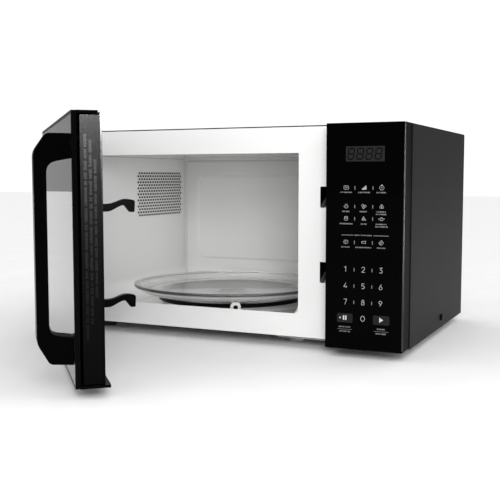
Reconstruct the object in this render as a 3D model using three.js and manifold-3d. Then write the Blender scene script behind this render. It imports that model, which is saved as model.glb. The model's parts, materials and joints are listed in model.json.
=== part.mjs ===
// A countertop microwave oven, standing on its feet with the door part open.
// Millimetres. While building, X is 0 at the cabinet's middle and runs to the right, Y is 0 at the
// cabinet's front edge and runs to the back, and Z is 0 at the worktop. At the end the whole group
// is moved so that the origin is the bottom centre of its bounding box.

import * as THREE from 'three';
import { mergeVertices } from 'three/addons/utils/BufferGeometryUtils.js';
import Module from 'manifold-3d';

const wasm = await Module();
wasm.setup();

// ---------------------------------------------------------------- driving dimensions

const GAP = 0.3; // clearance between pieces that touch
const SHEET = 1; // sheet metal

const CABINET_WIDTH = 477;
const CABINET_DEPTH = 285.2;
const CABINET_BOTTOM = 9;
const CABINET_TOP = 257;
const HALF_WIDTH = CABINET_WIDTH / 2;

const PLATE_BOTTOM = 12.9; // front plate's lower edge
const BASE_LEVEL = 12.6; // base plate under the cavity
const BASE_STEP_X = 72; // right of this the base plate is pressed down to the cabinet's bottom edge

const CAVITY_LEFT = -200;
const CAVITY_RIGHT = 107;
const CAVITY_FLOOR = 28;
const CAVITY_CEILING = 226.5;
const CAVITY_BACK = 279;
const CAVITY_COVE = 30; // radius between floor and side walls
const OPENING_BOTTOM = 42.8;
const OPENING_CORNER = 6;

const TABLE_X = (CAVITY_LEFT + CAVITY_RIGHT) / 2;
const TABLE_Y = 139.5;
const TABLE_RADIUS = 135;
const GLASS_UNDERSIDE = 42.1;
const GLASS_THICKNESS = 4;
const ROLLER_RADIUS = 6.8;
const ROLLER_CIRCLE = 107; // from the turntable's axis to the middle of a roller
const ROLLER_WIDTH = 6.5;
const ROLLER_AXLE_Z = CAVITY_FLOOR + 7;
const ROLLER_ANGLES = [-62, 58, 178]; // degrees, the first one stands at the front of the cavity

const PANEL_LEFT = 149.6;
const PANEL_RIGHT = 237.5;
const PANEL_BOTTOM = 9.6;
const PANEL_TOP = 257;
const FRONT_FACE = -27.5; // outer face of the closed door and of the control panel
const FASCIA_THICKNESS = 2;

const DOOR_LEFT = -HALF_WIDTH;
const DOOR_RIGHT = 148.1;
const DOOR_BOTTOM = 9.6;
const DOOR_TOP = 257;
const DOOR_OPEN_DEG = 48; // how far the door stands open at rest
const HINGE_X = -228.6;
const HINGE_Y = -14.9;
const FRAME_THICKNESS = 4.7;

const HANDLE_LEFT = 122.1;
const HANDLE_RIGHT = 142.1;

const LATCH_LEVELS = [171.3, 85.3]; // middle of the two hooks' arms
const LATCH_LEFT = 136.4;
const LATCH_RIGHT = 143.2;
const LATCH_SLOT_LEFT = 132.7;
const LATCH_SLOT_RIGHT = 150.5;

const GLAND_X = 205;
const GLAND_Z = 34;
const WAVEGUIDE_Y = 145;
const WAVEGUIDE_Z = 150;
const FAN_X = 171;
const FAN_Z = 176;
const CHASSIS_TOP = CABINET_BOTTOM + 0.6 + SHEET + GAP; // what stands on the pressed-down base
const FRONT_FEET_Y = 41;
const REAR_FEET_Y = 250;
const SIDE_SCREW = { y: 155.5, z: 22, radius: 4.2, headHeight: 2.4 };

// ---------------------------------------------------------------- colours

function finish(color, roughness, metalness = 0) {
  return new THREE.MeshStandardMaterial({ color, roughness, metalness });
}

const coverPaint = finish(0x2b2b2c, 0.55, 0.2);
const whiteEnamel = finish(0xe9e9e7, 0.3, 0.05);
const zincSteel = finish(0x9b9d9f, 0.45, 0.8);
const mattePlastic = finish(0x151515, 0.5);
const glossPlastic = finish(0x070707, 0.12);
const displayPlastic = finish(0x4a4c4e, 0.3);
const clearGlass = finish(0xc4cccb, 0.05);
const doorGlassTint = finish(0x1a1b1c, 0.05);
const rollerPlastic = finish(0xf1f1ee, 0.4);
const footPlastic = finish(0x2a2a2a, 0.8);
const footSteel = finish(0x8d8f91, 0.45, 0.6);
const castIron = finish(0x4a4644, 0.7, 0.6);
const copper = finish(0xb0653a, 0.4, 0.8);
const aluminium = finish(0xb9bcc0, 0.4, 0.9);
const mica = finish(0xc9bfa6, 0.6);
const boardGreen = finish(0x2f5d3a, 0.6);
const whitePlastic = finish(0xe4e2da, 0.5);
const bulbGlass = finish(0xf4f0e2, 0.1);
const springSteel = finish(0xa7a9ab, 0.3, 0.9);
const blackSteel = finish(0x18181a, 0.4, 0.6);

// ---------------------------------------------------------------- shape helpers

function range(low, high) {
  return { low, high, middle: (low + high) / 2, length: high - low };
}

function around(middle, length) {
  return range(middle - length / 2, middle + length / 2);
}

function block(x, y, z) {
  return new THREE.BoxGeometry(x.length, y.length, z.length).translate(x.middle, y.middle, z.middle);
}

function rectangle(x, y, corner = 0) {
  const shape = new THREE.Shape();
  if (corner === 0) {
    shape.moveTo(x.low, y.low).lineTo(x.high, y.low).lineTo(x.high, y.high).lineTo(x.low, y.high);
    return shape;
  }
  shape.moveTo(x.low + corner, y.low).lineTo(x.high - corner, y.low);
  shape.absarc(x.high - corner, y.low + corner, corner, -Math.PI / 2, 0);
  shape.absarc(x.high - corner, y.high - corner, corner, 0, Math.PI / 2);
  shape.absarc(x.low + corner, y.high - corner, corner, Math.PI / 2, Math.PI);
  shape.absarc(x.low + corner, y.low + corner, corner, Math.PI, Math.PI * 1.5);
  return shape;
}

function polygon(points) {
  return new THREE.Shape(points.map(([x, y]) => new THREE.Vector2(x, y)));
}

// The shape's own x and y become the two axes named first, and it is swept along the third.
function extrude(shape, along, span, curveSegments = 5) {
  const geometry = new THREE.ExtrudeGeometry(shape, {
    depth: span.length,
    bevelEnabled: false,
    curveSegments,
  });
  const x = new THREE.Vector3(1, 0, 0);
  const y = new THREE.Vector3(0, 1, 0);
  const z = new THREE.Vector3(0, 0, 1);
  if (along === 'z') {
    return geometry.translate(0, 0, span.low);
  }
  if (along === 'x') {
    return geometry.applyMatrix4(new THREE.Matrix4().makeBasis(y, z, x)).translate(span.low, 0, 0);
  }
  return geometry.applyMatrix4(new THREE.Matrix4().makeBasis(x, z, y.negate())).translate(0, span.high, 0);
}

// Turns a profile of [radius, height] points about a vertical axis through (x, y).
function turned(profile, x, y, segments = 32) {
  const points = profile.map(([radius, height]) => new THREE.Vector2(radius, height));
  return new THREE.LatheGeometry(points, segments).rotateX(Math.PI / 2).translate(x, y, 0);
}

function rod(axis, radius, span, a, b, segments = 16) {
  const geometry = new THREE.CylinderGeometry(radius, radius, span.length, segments);
  if (axis === 'x') {
    return geometry.rotateZ(Math.PI / 2).translate(span.middle, a, b);
  }
  if (axis === 'y') {
    return geometry.translate(a, span.middle, b);
  }
  return geometry.rotateX(Math.PI / 2).translate(a, b, span.middle);
}

function toSolid(geometry) {
  const bare = geometry.clone();
  bare.deleteAttribute('normal');
  bare.deleteAttribute('uv');
  const merged = mergeVertices(bare, 1e-4);
  return new wasm.Manifold(
    new wasm.Mesh({
      numProp: 3,
      vertProperties: Float32Array.from(merged.attributes.position.array),
      triVerts: Uint32Array.from(merged.index.array),
    }),
  );
}

function toGeometry(solid) {
  const mesh = solid.getMesh();
  const geometry = new THREE.BufferGeometry();
  geometry.setAttribute('position', new THREE.BufferAttribute(Float32Array.from(mesh.vertProperties), 3));
  geometry.setIndex(new THREE.BufferAttribute(Uint32Array.from(mesh.triVerts), 1));
  geometry.computeVertexNormals();
  return geometry;
}

function join(...geometries) {
  return toGeometry(geometries.map(toSolid).reduce((whole, piece) => whole.add(piece)));
}

function cut(geometry, ...tools) {
  return toGeometry(tools.map(toSolid).reduce((whole, tool) => whole.subtract(tool), toSolid(geometry)));
}

function addPiece(parent, name, geometry, material) {
  const mesh = new THREE.Mesh(geometry, material);
  mesh.name = name;
  parent.add(mesh);
}

// ---------------------------------------------------------------- cabinet

function outerCover() {
  const bend = 2.5;
  const outer = HALF_WIDTH;
  const inner = HALF_WIDTH - SHEET;
  const roof = CABINET_TOP - SHEET;
  const shape = new THREE.Shape();
  shape.moveTo(outer, CABINET_BOTTOM).lineTo(outer, CABINET_TOP - bend);
  shape.absarc(outer - bend, CABINET_TOP - bend, bend, 0, Math.PI / 2);
  shape.absarc(-outer + bend, CABINET_TOP - bend, bend, Math.PI / 2, Math.PI);
  shape.lineTo(-outer, CABINET_BOTTOM).lineTo(-inner, CABINET_BOTTOM);
  shape.absarc(-outer + bend, CABINET_TOP - bend, bend - SHEET, Math.PI, Math.PI / 2, true);
  shape.lineTo(outer - bend, roof);
  shape.absarc(outer - bend, CABINET_TOP - bend, bend - SHEET, Math.PI / 2, 0, true);
  shape.lineTo(inner, CABINET_BOTTOM);
  return extrude(shape, 'y', range(0, CABINET_DEPTH), 3);
}

function basePlate() {
  const edge = HALF_WIDTH - 3;
  const low = CABINET_BOTTOM + 0.6;
  const slope = 8;
  const profile = polygon([
    [-edge, BASE_LEVEL],
    [BASE_STEP_X, BASE_LEVEL],
    [BASE_STEP_X + slope, low],
    [edge, low],
    [edge, low + SHEET],
    [BASE_STEP_X + slope + 0.4, low + SHEET],
    [BASE_STEP_X + 0.4, BASE_LEVEL + SHEET],
    [-edge, BASE_LEVEL + SHEET],
  ]);
  return extrude(profile, 'y', range(8, CABINET_DEPTH - 3));
}

function frontPlate() {
  const shape = rectangle(around(0, CABINET_WIDTH - 3.2), range(PLATE_BOTTOM, CABINET_TOP - SHEET - GAP));
  const opening = range(CAVITY_LEFT + 0.5, CAVITY_RIGHT - 0.8);
  const mouth = new THREE.Path();
  mouth.moveTo(opening.low, CAVITY_CEILING - 0.4);
  mouth.lineTo(opening.low, OPENING_BOTTOM + OPENING_CORNER);
  mouth.absarc(opening.low + OPENING_CORNER, OPENING_BOTTOM + OPENING_CORNER, OPENING_CORNER,
    Math.PI, Math.PI * 1.5);
  mouth.absarc(opening.high - OPENING_CORNER, OPENING_BOTTOM + OPENING_CORNER, OPENING_CORNER,
    Math.PI * 1.5, Math.PI * 2);
  mouth.lineTo(opening.high, CAVITY_CEILING - 0.4);
  shape.holes.push(mouth);
  for (const level of LATCH_LEVELS) {
    shape.holes.push(rectangle(range(LATCH_SLOT_LEFT, LATCH_SLOT_RIGHT), range(level - 7.5, level + 16.5)));
  }
  return extrude(shape, 'y', range(0, SHEET), 4);
}

// A side wall of the cavity with the quarter-round that leads down to the floor.
function cavitySideWall(face, outward) {
  const centreX = face - outward * CAVITY_COVE;
  const centreZ = CAVITY_FLOOR + CAVITY_COVE;
  const wallTop = CAVITY_CEILING - GAP;
  const wallSide = outward > 0 ? 0 : Math.PI;
  const shape = new THREE.Shape();
  shape.moveTo(face, wallTop).lineTo(face, centreZ);
  shape.absarc(centreX, centreZ, CAVITY_COVE, wallSide, -Math.PI / 2 + (outward > 0 ? 0 : Math.PI * 2),
    outward > 0);
  shape.lineTo(centreX, CAVITY_FLOOR - SHEET);
  shape.absarc(centreX, centreZ, CAVITY_COVE + SHEET, -Math.PI / 2 + (outward > 0 ? 0 : Math.PI * 2),
    wallSide, outward < 0);
  shape.lineTo(face + outward * SHEET, wallTop);
  return extrude(shape, 'y', range(SHEET + GAP, CAVITY_BACK), 6);
}

function cavityFloor() {
  const inset = CAVITY_COVE + GAP;
  const x = range(CAVITY_LEFT + inset, CAVITY_RIGHT - inset);
  const plate = block(x, range(SHEET + GAP, CAVITY_BACK), range(CAVITY_FLOOR - SHEET, CAVITY_FLOOR));
  const shaftHole = 8;
  return cut(plate, rod('z', shaftHole, around(CAVITY_FLOOR, 10), TABLE_X, TABLE_Y, 20));
}

// Rows of slots let the fan draw air in behind it and let the cavity's warm air out on the other side.
function rearPanel() {
  const shape = rectangle(around(0, CABINET_WIDTH - 3.2), range(CABINET_BOTTOM + 0.6,
    CABINET_TOP - SHEET - GAP));
  const slotHeight = 4;
  const pitch = 9;
  const vents = [
    { x: around(FAN_X, 84), middle: FAN_Z, rows: 9 },
    { x: around(-160, 70), middle: 170, rows: 7 },
  ];
  for (const { x, middle, rows } of vents) {
    for (let row = 0; row < rows; row += 1) {
      const level = middle + (row - (rows - 1) / 2) * pitch;
      shape.holes.push(rectangle(x, around(level, slotHeight), 1.8));
    }
  }
  const sheet = range(CABINET_DEPTH - 2, CABINET_DEPTH - 1);
  return cut(extrude(shape, 'y', sheet, 2), rod('y', 5.3, around(sheet.middle, 8), GLAND_X, GLAND_Z, 20));
}

function addCabinet(group) {
  const cavityWidth = range(CAVITY_LEFT - SHEET, CAVITY_RIGHT + SHEET);
  const backSheet = range(CAVITY_BACK + GAP, CAVITY_BACK + GAP + SHEET);
  addPiece(group, 'outer_cover', outerCover(), coverPaint);
  addPiece(group, 'base_plate', basePlate(), zincSteel);
  addPiece(group, 'front_plate', frontPlate(), whiteEnamel);
  addPiece(group, 'cavity_left_wall', cavitySideWall(CAVITY_LEFT, -1), whiteEnamel);
  addPiece(group, 'cavity_right_wall', cavitySideWall(CAVITY_RIGHT, 1), whiteEnamel);
  addPiece(group, 'cavity_floor', cavityFloor(), whiteEnamel);
  addPiece(group, 'cavity_ceiling', block(cavityWidth, range(SHEET + GAP, CAVITY_BACK),
    range(CAVITY_CEILING, CAVITY_CEILING + SHEET)), whiteEnamel);
  addPiece(group, 'cavity_back_wall', block(cavityWidth, backSheet,
    range(CAVITY_FLOOR - SHEET, CAVITY_CEILING + SHEET)), whiteEnamel);
  addPiece(group, 'rear_panel', rearPanel(), zincSteel);
}

// ---------------------------------------------------------------- feet and fasteners

function foot(x, y, top) {
  const base = 8;
  const head = 9.5;
  return turned([[0, 0], [base, 0], [head, 2], [head, top], [0, top]], x, y, 20);
}

function addFeetAndFasteners(group) {
  const underLeft = BASE_LEVEL - GAP;
  const underRight = CABINET_BOTTOM + GAP;
  addPiece(group, 'foot_front_left', foot(-182.5, FRONT_FEET_Y, underLeft), footPlastic);
  addPiece(group, 'foot_front_right', foot(205, FRONT_FEET_Y, underRight), footPlastic);
  addPiece(group, 'foot_rear_left', foot(-182.5, REAR_FEET_Y, underLeft), footPlastic);
  addPiece(group, 'foot_rear_right', foot(205, REAR_FEET_Y, underRight), footPlastic);
  addPiece(group, 'foot_middle', foot(90, FRONT_FEET_Y, underRight), footSteel);
  for (const [name, side] of [['side_screw_left', -1], ['side_screw_right', 1]]) {
    const face = side * (HALF_WIDTH + 0.2);
    const crown = face + side * SIDE_SCREW.headHeight;
    const head = range(Math.min(face, crown), Math.max(face, crown));
    addPiece(group, name, rod('x', SIDE_SCREW.radius, head, SIDE_SCREW.y, SIDE_SCREW.z, 20), blackSteel);
  }
  const flange = rod('y', 8, range(CABINET_DEPTH - 0.7, CABINET_DEPTH + 3.8), GLAND_X, GLAND_Z, 20);
  const neck = rod('y', 5, range(CABINET_DEPTH - 8, CABINET_DEPTH), GLAND_X, GLAND_Z, 20);
  addPiece(group, 'cord_gland', join(flange, neck), mattePlastic);
}

// ---------------------------------------------------------------- turntable

function turntablePlate() {
  const under = GLASS_UNDERSIDE;
  const top = under + GLASS_THICKNESS;
  const rimTop = 55;
  const flat = TABLE_RADIUS - 18;
  const dish = turned([
    [0, under],
    [flat, under],
    [TABLE_RADIUS - 3, rimTop - 4.5],
    [TABLE_RADIUS, rimTop - 2],
    [TABLE_RADIUS - 1.2, rimTop],
    [TABLE_RADIUS - 5.5, rimTop - 1.6],
    [flat - 1.5, top],
    [0, top],
  ], TABLE_X, TABLE_Y, 64);
  const lugs = lobeAngles(60).map((angle) => {
    const lug = block(range(12, 19), around(0, 5), range(under - 5, under + 1));
    return lug.rotateZ(angle).translate(TABLE_X, TABLE_Y, 0);
  });
  return join(dish, ...lugs);
}

function lobeAngles(first) {
  return [0, 1, 2].map((index) => THREE.MathUtils.degToRad(first + index * 120));
}

function turntableCoupler() {
  const top = GLASS_UNDERSIDE - GAP;
  const hub = turned([
    [3.3, CAVITY_FLOOR + 1.5],
    [6.5, CAVITY_FLOOR + 1.5],
    [9, CAVITY_FLOOR + 5],
    [9, top],
    [0, top],
    [0, top - 4],
    [3.3, top - 4],
    [3.3, CAVITY_FLOOR + 1.5],
  ], TABLE_X, TABLE_Y, 24);
  const lobes = lobeAngles(0).map((angle) => {
    const lobe = block(range(6, 20), around(0, 7), range(CAVITY_FLOOR + 7, top));
    return lobe.rotateZ(angle).translate(TABLE_X, TABLE_Y, 0);
  });
  return join(hub, ...lobes);
}

function turntableMotor() {
  const body = rod('z', 24.5, range(BASE_LEVEL + SHEET + GAP, CAVITY_FLOOR - SHEET - GAP), TABLE_X,
    TABLE_Y, 32);
  const shaft = rod('z', 3, range(CAVITY_FLOOR - 2, GLASS_UNDERSIDE - GAP - 4.3), TABLE_X, TABLE_Y, 16);
  return join(body, shaft);
}

function rollerRing() {
  const inner = 95;
  const outer = 101;
  const low = ROLLER_AXLE_Z - 2.3;
  const high = ROLLER_AXLE_Z + 3;
  const ring = turned([[inner, low], [outer, low], [outer, high], [inner, high], [inner, low]], TABLE_X,
    TABLE_Y, 60);
  const axleEnd = ROLLER_CIRCLE + ROLLER_WIDTH / 2 + 1.2;
  const axles = ROLLER_ANGLES.map((degrees) => {
    const axle = rod('x', 1.7, range(outer - 2, axleEnd), 0, ROLLER_AXLE_Z, 12);
    return axle.rotateZ(THREE.MathUtils.degToRad(degrees)).translate(TABLE_X, TABLE_Y, 0);
  });
  return join(ring, ...axles);
}

function roller() {
  const bore = 2;
  const half = ROLLER_WIDTH / 2;
  const edge = 0.8;
  const profile = [
    [bore, -half],
    [ROLLER_RADIUS - edge, -half],
    [ROLLER_RADIUS, -half + edge],
    [ROLLER_RADIUS, half - edge],
    [ROLLER_RADIUS - edge, half],
    [bore, half],
    [bore, -half],
  ];
  const points = profile.map(([radius, height]) => new THREE.Vector2(radius, height));
  return new THREE.LatheGeometry(points, 24).rotateZ(-Math.PI / 2);
}

function addTurntable(group) {
  addPiece(group, 'turntable_motor', turntableMotor(), zincSteel);
  addPiece(group, 'turntable_coupler', turntableCoupler(), mattePlastic);
  addPiece(group, 'turntable_plate', turntablePlate(), clearGlass);
  addPiece(group, 'roller_ring', rollerRing(), mattePlastic);
  ROLLER_ANGLES.forEach((degrees, index) => {
    const spoke = new THREE.Group();
    spoke.position.set(TABLE_X, TABLE_Y, ROLLER_AXLE_Z);
    spoke.rotation.z = THREE.MathUtils.degToRad(degrees);
    group.add(spoke);
    const wheel = roller().translate(ROLLER_CIRCLE, 0, 0);
    addPiece(spoke, `roller_${index + 1}`, wheel, rollerPlastic);
  });
}

// ---------------------------------------------------------------- control panel

function addControlPanel(group) {
  const x = range(PANEL_LEFT, PANEL_RIGHT);
  const z = range(PANEL_BOTTOM, PANEL_TOP);
  const wall = 2;
  const corner = 1.5;
  const fasciaBack = FRONT_FACE + FASCIA_THICKNESS;
  const display = { x: range(171.5, 215.5), z: range(215, 232) };

  const front = fasciaBack + GAP;
  const shell = block(x, range(front, -GAP), z);
  const hollow = block(range(x.low + wall, x.high - wall), range(front + wall, 5),
    range(z.low + wall, z.high - wall));
  const displayHole = block(display.x, around(front, 10), display.z);
  addPiece(group, 'control_panel_housing', cut(shell, hollow, displayHole), mattePlastic);

  const face = rectangle(x, z, corner);
  face.holes.push(rectangle(display.x, display.z));
  addPiece(group, 'panel_fascia', extrude(face, 'y', range(FRONT_FACE, fasciaBack)), glossPlastic);
  addPiece(group, 'display_window', block(
    around(display.x.middle, display.x.length - 2 * GAP),
    range(FRONT_FACE + 0.3, fasciaBack),
    around(display.z.middle, display.z.length - 2 * GAP),
  ), displayPlastic);

  const inside = front + wall;
  addPiece(group, 'display_module', block(around(display.x.middle, 50), range(inside + 1, inside + 8),
    around(display.z.middle, 23)), mattePlastic);
  addPiece(group, 'keypad_membrane', block(range(160, 227), range(inside + GAP, inside + 0.9),
    range(26, 205)), displayPlastic);
  addPiece(group, 'control_board', block(range(158, 229), range(-14, -12.4), range(30, 245)), boardGreen);
}

// ---------------------------------------------------------------- door latch receiver

function addLatchReceiver(group) {
  const plateLeft = 152.5;
  addPiece(group, 'latch_bracket', block(range(plateLeft, plateLeft + 2.5), range(SHEET + GAP, 44),
    range(62, 204)), mattePlastic);
  const names = ['upper', 'lower'];
  LATCH_LEVELS.forEach((level, index) => {
    const rampTop = level - 4.8;
    const ramp = polygon([[2, rampTop - 14], [30, rampTop - 14], [30, rampTop - 8], [21.5, rampTop - 2],
      [21.5, rampTop], [17.5, rampTop], [2, rampTop - 6]]);
    addPiece(group, `latch_ramp_${names[index]}`, extrude(ramp, 'x', range(134, plateLeft - GAP)),
      mattePlastic);
    addPiece(group, `interlock_switch_${names[index]}`, block(range(141, plateLeft - GAP),
      range(31, 44), range(level - 8, level + 20)), mattePlastic);
  });
  addPiece(group, 'interlock_switch_monitor', block(range(141, plateLeft - GAP), range(31, 44),
    range(114, 142)), mattePlastic);
}

// ---------------------------------------------------------------- power and cooling

function waveguide() {
  const x = range(CAVITY_RIGHT + SHEET + GAP, CAVITY_RIGHT + SHEET + GAP + 22);
  const duct = block(x, around(WAVEGUIDE_Y, 96), around(WAVEGUIDE_Z, 84));
  const hollow = block(range(x.low - 5, x.high - 1.5), around(WAVEGUIDE_Y, 93), around(WAVEGUIDE_Z, 81));
  return cut(duct, hollow, rod('x', 14, around(x.high, 10), WAVEGUIDE_Y, WAVEGUIDE_Z, 20));
}

function magnetron() {
  const start = CAVITY_RIGHT + SHEET + GAP + 22 + GAP;
  const depth = around(WAVEGUIDE_Y, 74);
  const height = around(WAVEGUIDE_Z, 80);
  const pieces = [
    rod('x', 12, range(start - 14, start + 2), WAVEGUIDE_Y, WAVEGUIDE_Z, 20),
    rod('x', 20, range(start, start + 50), WAVEGUIDE_Y, WAVEGUIDE_Z, 24),
    block(range(start, start + 2), depth, height),
    block(range(start + 50, start + 52), depth, height),
    block(range(start + 52, start + 70), around(WAVEGUIDE_Y, 46), around(WAVEGUIDE_Z, 60)),
  ];
  const fins = 5;
  for (let fin = 0; fin < fins; fin += 1) {
    const x = start + 11 + fin * 7;
    pieces.push(block(range(x, x + 0.8), around(WAVEGUIDE_Y, 70), around(WAVEGUIDE_Z, 76)));
  }
  return join(...pieces);
}

function addTransformer(group) {
  const x = range(140, 226);
  const y = range(60, 130);
  const z = range(CHASSIS_TOP, CHASSIS_TOP + 72);
  const leg = 14;
  const windowWidth = 15;
  const windowZ = range(z.low + leg, z.high - leg);
  const leftWindow = range(x.low + leg, x.low + leg + windowWidth);
  const rightWindow = range(x.high - leg - windowWidth, x.high - leg);
  const through = around(y.middle, y.length + 10);
  addPiece(group, 'transformer_core', cut(block(x, y, z), block(leftWindow, through, windowZ),
    block(rightWindow, through, windowZ)), castIron);
  const half = (windowZ.length - 3 * GAP) / 2;
  const coils = {
    transformer_primary: windowZ.low + GAP,
    transformer_secondary: windowZ.high - GAP - half,
  };
  for (const [name, low] of Object.entries(coils)) {
    const outline = rectangle(around(x.middle, rightWindow.high - leftWindow.low - 2 * GAP),
      around(y.middle, y.length + 30), 8);
    outline.holes.push(rectangle(around(x.middle, rightWindow.low - leftWindow.high + 2 * GAP),
      around(y.middle, y.length + 2 * GAP)));
    addPiece(group, name, extrude(outline, 'z', range(low, low + half)), copper);
  }
}

function fanRotor() {
  const hub = rod('y', 12, range(265, 277), FAN_X, FAN_Z, 20);
  const shaft = rod('y', 1.8, range(258.5, 268), FAN_X, FAN_Z, 12);
  const blades = [];
  const bladeCount = 5;
  for (let blade = 0; blade < bladeCount; blade += 1) {
    const paddle = new THREE.BoxGeometry(26, 1.6, 34).rotateZ(THREE.MathUtils.degToRad(22));
    const turn = new THREE.Group();
    turn.rotation.y = (blade * 2 * Math.PI) / bladeCount;
    turn.updateMatrixWorld();
    blades.push(paddle.translate(0, 271, 27).applyMatrix4(turn.matrixWorld).translate(FAN_X, 0, FAN_Z));
  }
  return join(hub, shaft, ...blades);
}

function addPowerAndCooling(group) {
  addPiece(group, 'waveguide_cover', block(range(CAVITY_RIGHT - 0.9, CAVITY_RIGHT - GAP),
    around(WAVEGUIDE_Y, 110), around(WAVEGUIDE_Z, 90)), mica);
  addPiece(group, 'waveguide', waveguide(), aluminium);
  addPiece(group, 'magnetron', magnetron(), aluminium);
  addTransformer(group);
  const can = rectangle(range(176, 228), range(CHASSIS_TOP, CHASSIS_TOP + 33), 16);
  addPiece(group, 'capacitor', extrude(can, 'y', range(160, 250)), aluminium);

  const shroud = block(around(FAN_X, 112), range(262, CABINET_DEPTH - 2 - GAP), around(FAN_Z, 112));
  const throat = rod('y', 47, around(272, 60), FAN_X, FAN_Z, 40);
  addPiece(group, 'fan_shroud', cut(shroud, throat), mattePlastic);
  addPiece(group, 'fan_rotor', fanRotor(), mattePlastic);
  addPiece(group, 'fan_motor', block(around(FAN_X, 52), range(228, 258), around(FAN_Z, 48)), castIron);

  const ductOuter = block(around(FAN_X, 60), range(196, 220), around(WAVEGUIDE_Z + 12, 92));
  const ductInner = block(around(FAN_X, 56), range(190, 226), around(WAVEGUIDE_Z + 12, 88));
  addPiece(group, 'air_duct', cut(ductOuter, ductInner), mattePlastic);

  const lampY = 70;
  const lampZ = 214;
  const bulb = join(
    new THREE.SphereGeometry(10, 16, 10).translate(121, lampY, lampZ),
    rod('x', 5, range(124, 139), lampY, lampZ, 16),
  );
  addPiece(group, 'oven_lamp', bulb, bulbGlass);
  addPiece(group, 'lamp_holder', block(range(139 + GAP, 146), around(lampY, 30), around(lampZ, 26)),
    whitePlastic);
}

// ---------------------------------------------------------------- door, drawn closed

function doorOuterFrame() {
  const x = range(DOOR_LEFT, DOOR_RIGHT);
  const z = range(DOOR_BOTTOM, DOOR_TOP);
  const wall = 2.6;
  const back = FRONT_FACE + FRAME_THICKNESS;
  const face = rectangle(x, z, 2);
  face.holes.push(rectangle(range(x.low + 34, x.high - 44), range(z.low + 30, z.high - 30), 6));
  const faceRing = extrude(face, 'y', range(FRONT_FACE, back));
  const recess = block(range(x.low + 3, x.high - 3), around(FRONT_FACE, 6.6), range(z.low + 3, z.high - 3));
  const topWall = extrude(polygon([[x.low + 2, back - 1], [x.high, back - 1], [x.high, -4], [x.low + 6, -4],
    [x.low + 2, -7]]), 'z', range(z.high - wall, z.high));
  const bottomWall = extrude(polygon([[x.low + 2, back - 1], [x.high, back - 1], [x.high, 4.3],
    [HINGE_X + 2, 4.3], [HINGE_X + 2, -5], [x.low + 2, -7]]), 'z', range(z.low, z.low + wall));
  const hingeWall = block(range(x.low, x.low + wall), range(back - 1, -6), range(z.low + 16, z.high - 16));
  const bosses = [range(238, 247.7), range(20.3, 26)];
  const bossDepth = range(back - 1, HINGE_Y + 5.5);
  const bossBlocks = bosses.map((height) => block(around(HINGE_X, 11), bossDepth, height));
  const pinHoles = bosses.map((height) => rod('z', 2.6, around(height.middle, height.length + 2),
    HINGE_X, HINGE_Y, 16));
  return cut(join(cut(faceRing, recess), topWall, bottomWall, hingeWall, ...bossBlocks), ...pinHoles);
}

function doorChokeCover() {
  const x = range(HINGE_X - 2, DOOR_RIGHT - 1.5);
  const z = range(DOOR_BOTTOM + 2.6 + GAP, DOOR_TOP - 4);
  const lip = range(-2.4, -0.6);
  const border = 42;
  const windowShape = rectangle(range(x.low + border, x.high - border), range(z.low + border - 12,
    z.high - border + 12), 8);
  const body = rectangle(range(x.low, x.high - 1), z);
  body.holes.push(windowShape);
  const flange = rectangle(x, range(z.low, z.high + 3));
  flange.holes.push(windowShape);
  const ring = join(extrude(body, 'y', range(-20, lip.low + 0.5)), extrude(flange, 'y', lip));
  const insideZ = range(z.low + 2, z.high - 2);
  const hollow = block(range(x.low + 2, x.high - 3), range(-18.2, lip.low - 0.6), insideZ);
  const windowWall = rectangle(range(x.low + border - 2, x.high - border + 2), range(z.low + border - 14,
    z.high - border + 14), 9);
  windowWall.holes.push(windowShape);
  const keep = extrude(windowWall, 'y', range(-20, lip.high));
  const rearOpening = block(range(x.low + 2, x.high - 3), range(-22, -17), insideZ);
  const slots = LATCH_LEVELS.map((level) => block(range(LATCH_LEFT - 1, LATCH_RIGHT + 1), around(0, 12),
    range(level - 5, level + 15)));
  const corners = [range(z.high - 16, z.high + 5), range(z.low - 5, z.low + 14)].map((height) => block(
    range(x.low - 5, x.low + 16), range(-25, lip.low - 0.7), height));
  const lipNotches = [range(z.high - 6.5, z.high + 5), range(z.low - 5, z.low + 9)].map((height) => block(
    range(x.low - 5, HINGE_X + 7), range(lip.low - 1, 1), height));
  return cut(join(cut(ring, hollow, rearOpening), keep), ...slots, ...corners, ...lipNotches);
}

function doorHandle() {
  const face = FRONT_FACE - GAP;
  const reach = 32;
  const grip = 21;
  const soft = 4;
  const top = { foot: 237, knee: 221, gripRoof: 215, corner: 207 };
  const bottom = { foot: 31, knee: 51.6, gripFloor: 56, corner: 62 };
  const shape = new THREE.Shape();
  shape.moveTo(face, top.foot).lineTo(face - grip, top.foot).lineTo(face - reach, top.knee);
  shape.lineTo(face - reach, bottom.knee).lineTo(face - grip, bottom.foot + 1.6);
  shape.lineTo(face, bottom.foot).lineTo(face, bottom.gripFloor);
  shape.lineTo(face - grip + soft, bottom.gripFloor + 3);
  shape.quadraticCurveTo(face - grip, bottom.gripFloor + 3, face - grip, bottom.corner + 2);
  shape.lineTo(face - grip, top.corner - 2);
  shape.quadraticCurveTo(face - grip, top.gripRoof - 4, face - grip + soft, top.gripRoof - 4);
  shape.lineTo(face, top.gripRoof);
  return extrude(shape, 'x', range(HANDLE_LEFT, HANDLE_RIGHT), 4);
}

// A hook seen from the side: a rising arm with a square head and a tooth that points down.
function latchHook(level) {
  const root = -9;
  const outline = [
    [root, level - 3.4], [5.5, level - 3.4], [14.5, level + 1.4], [18.5, level + 2.6],
    [23.5, level - 4], [27.9, level - 4], [28.4, level + 6.4], [24, level + 7.6], [18, level + 8],
    [7, level + 3.6], [root, level + 3.4],
  ];
  return extrude(polygon(outline), 'x', range(LATCH_LEFT, LATCH_RIGHT));
}

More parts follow.
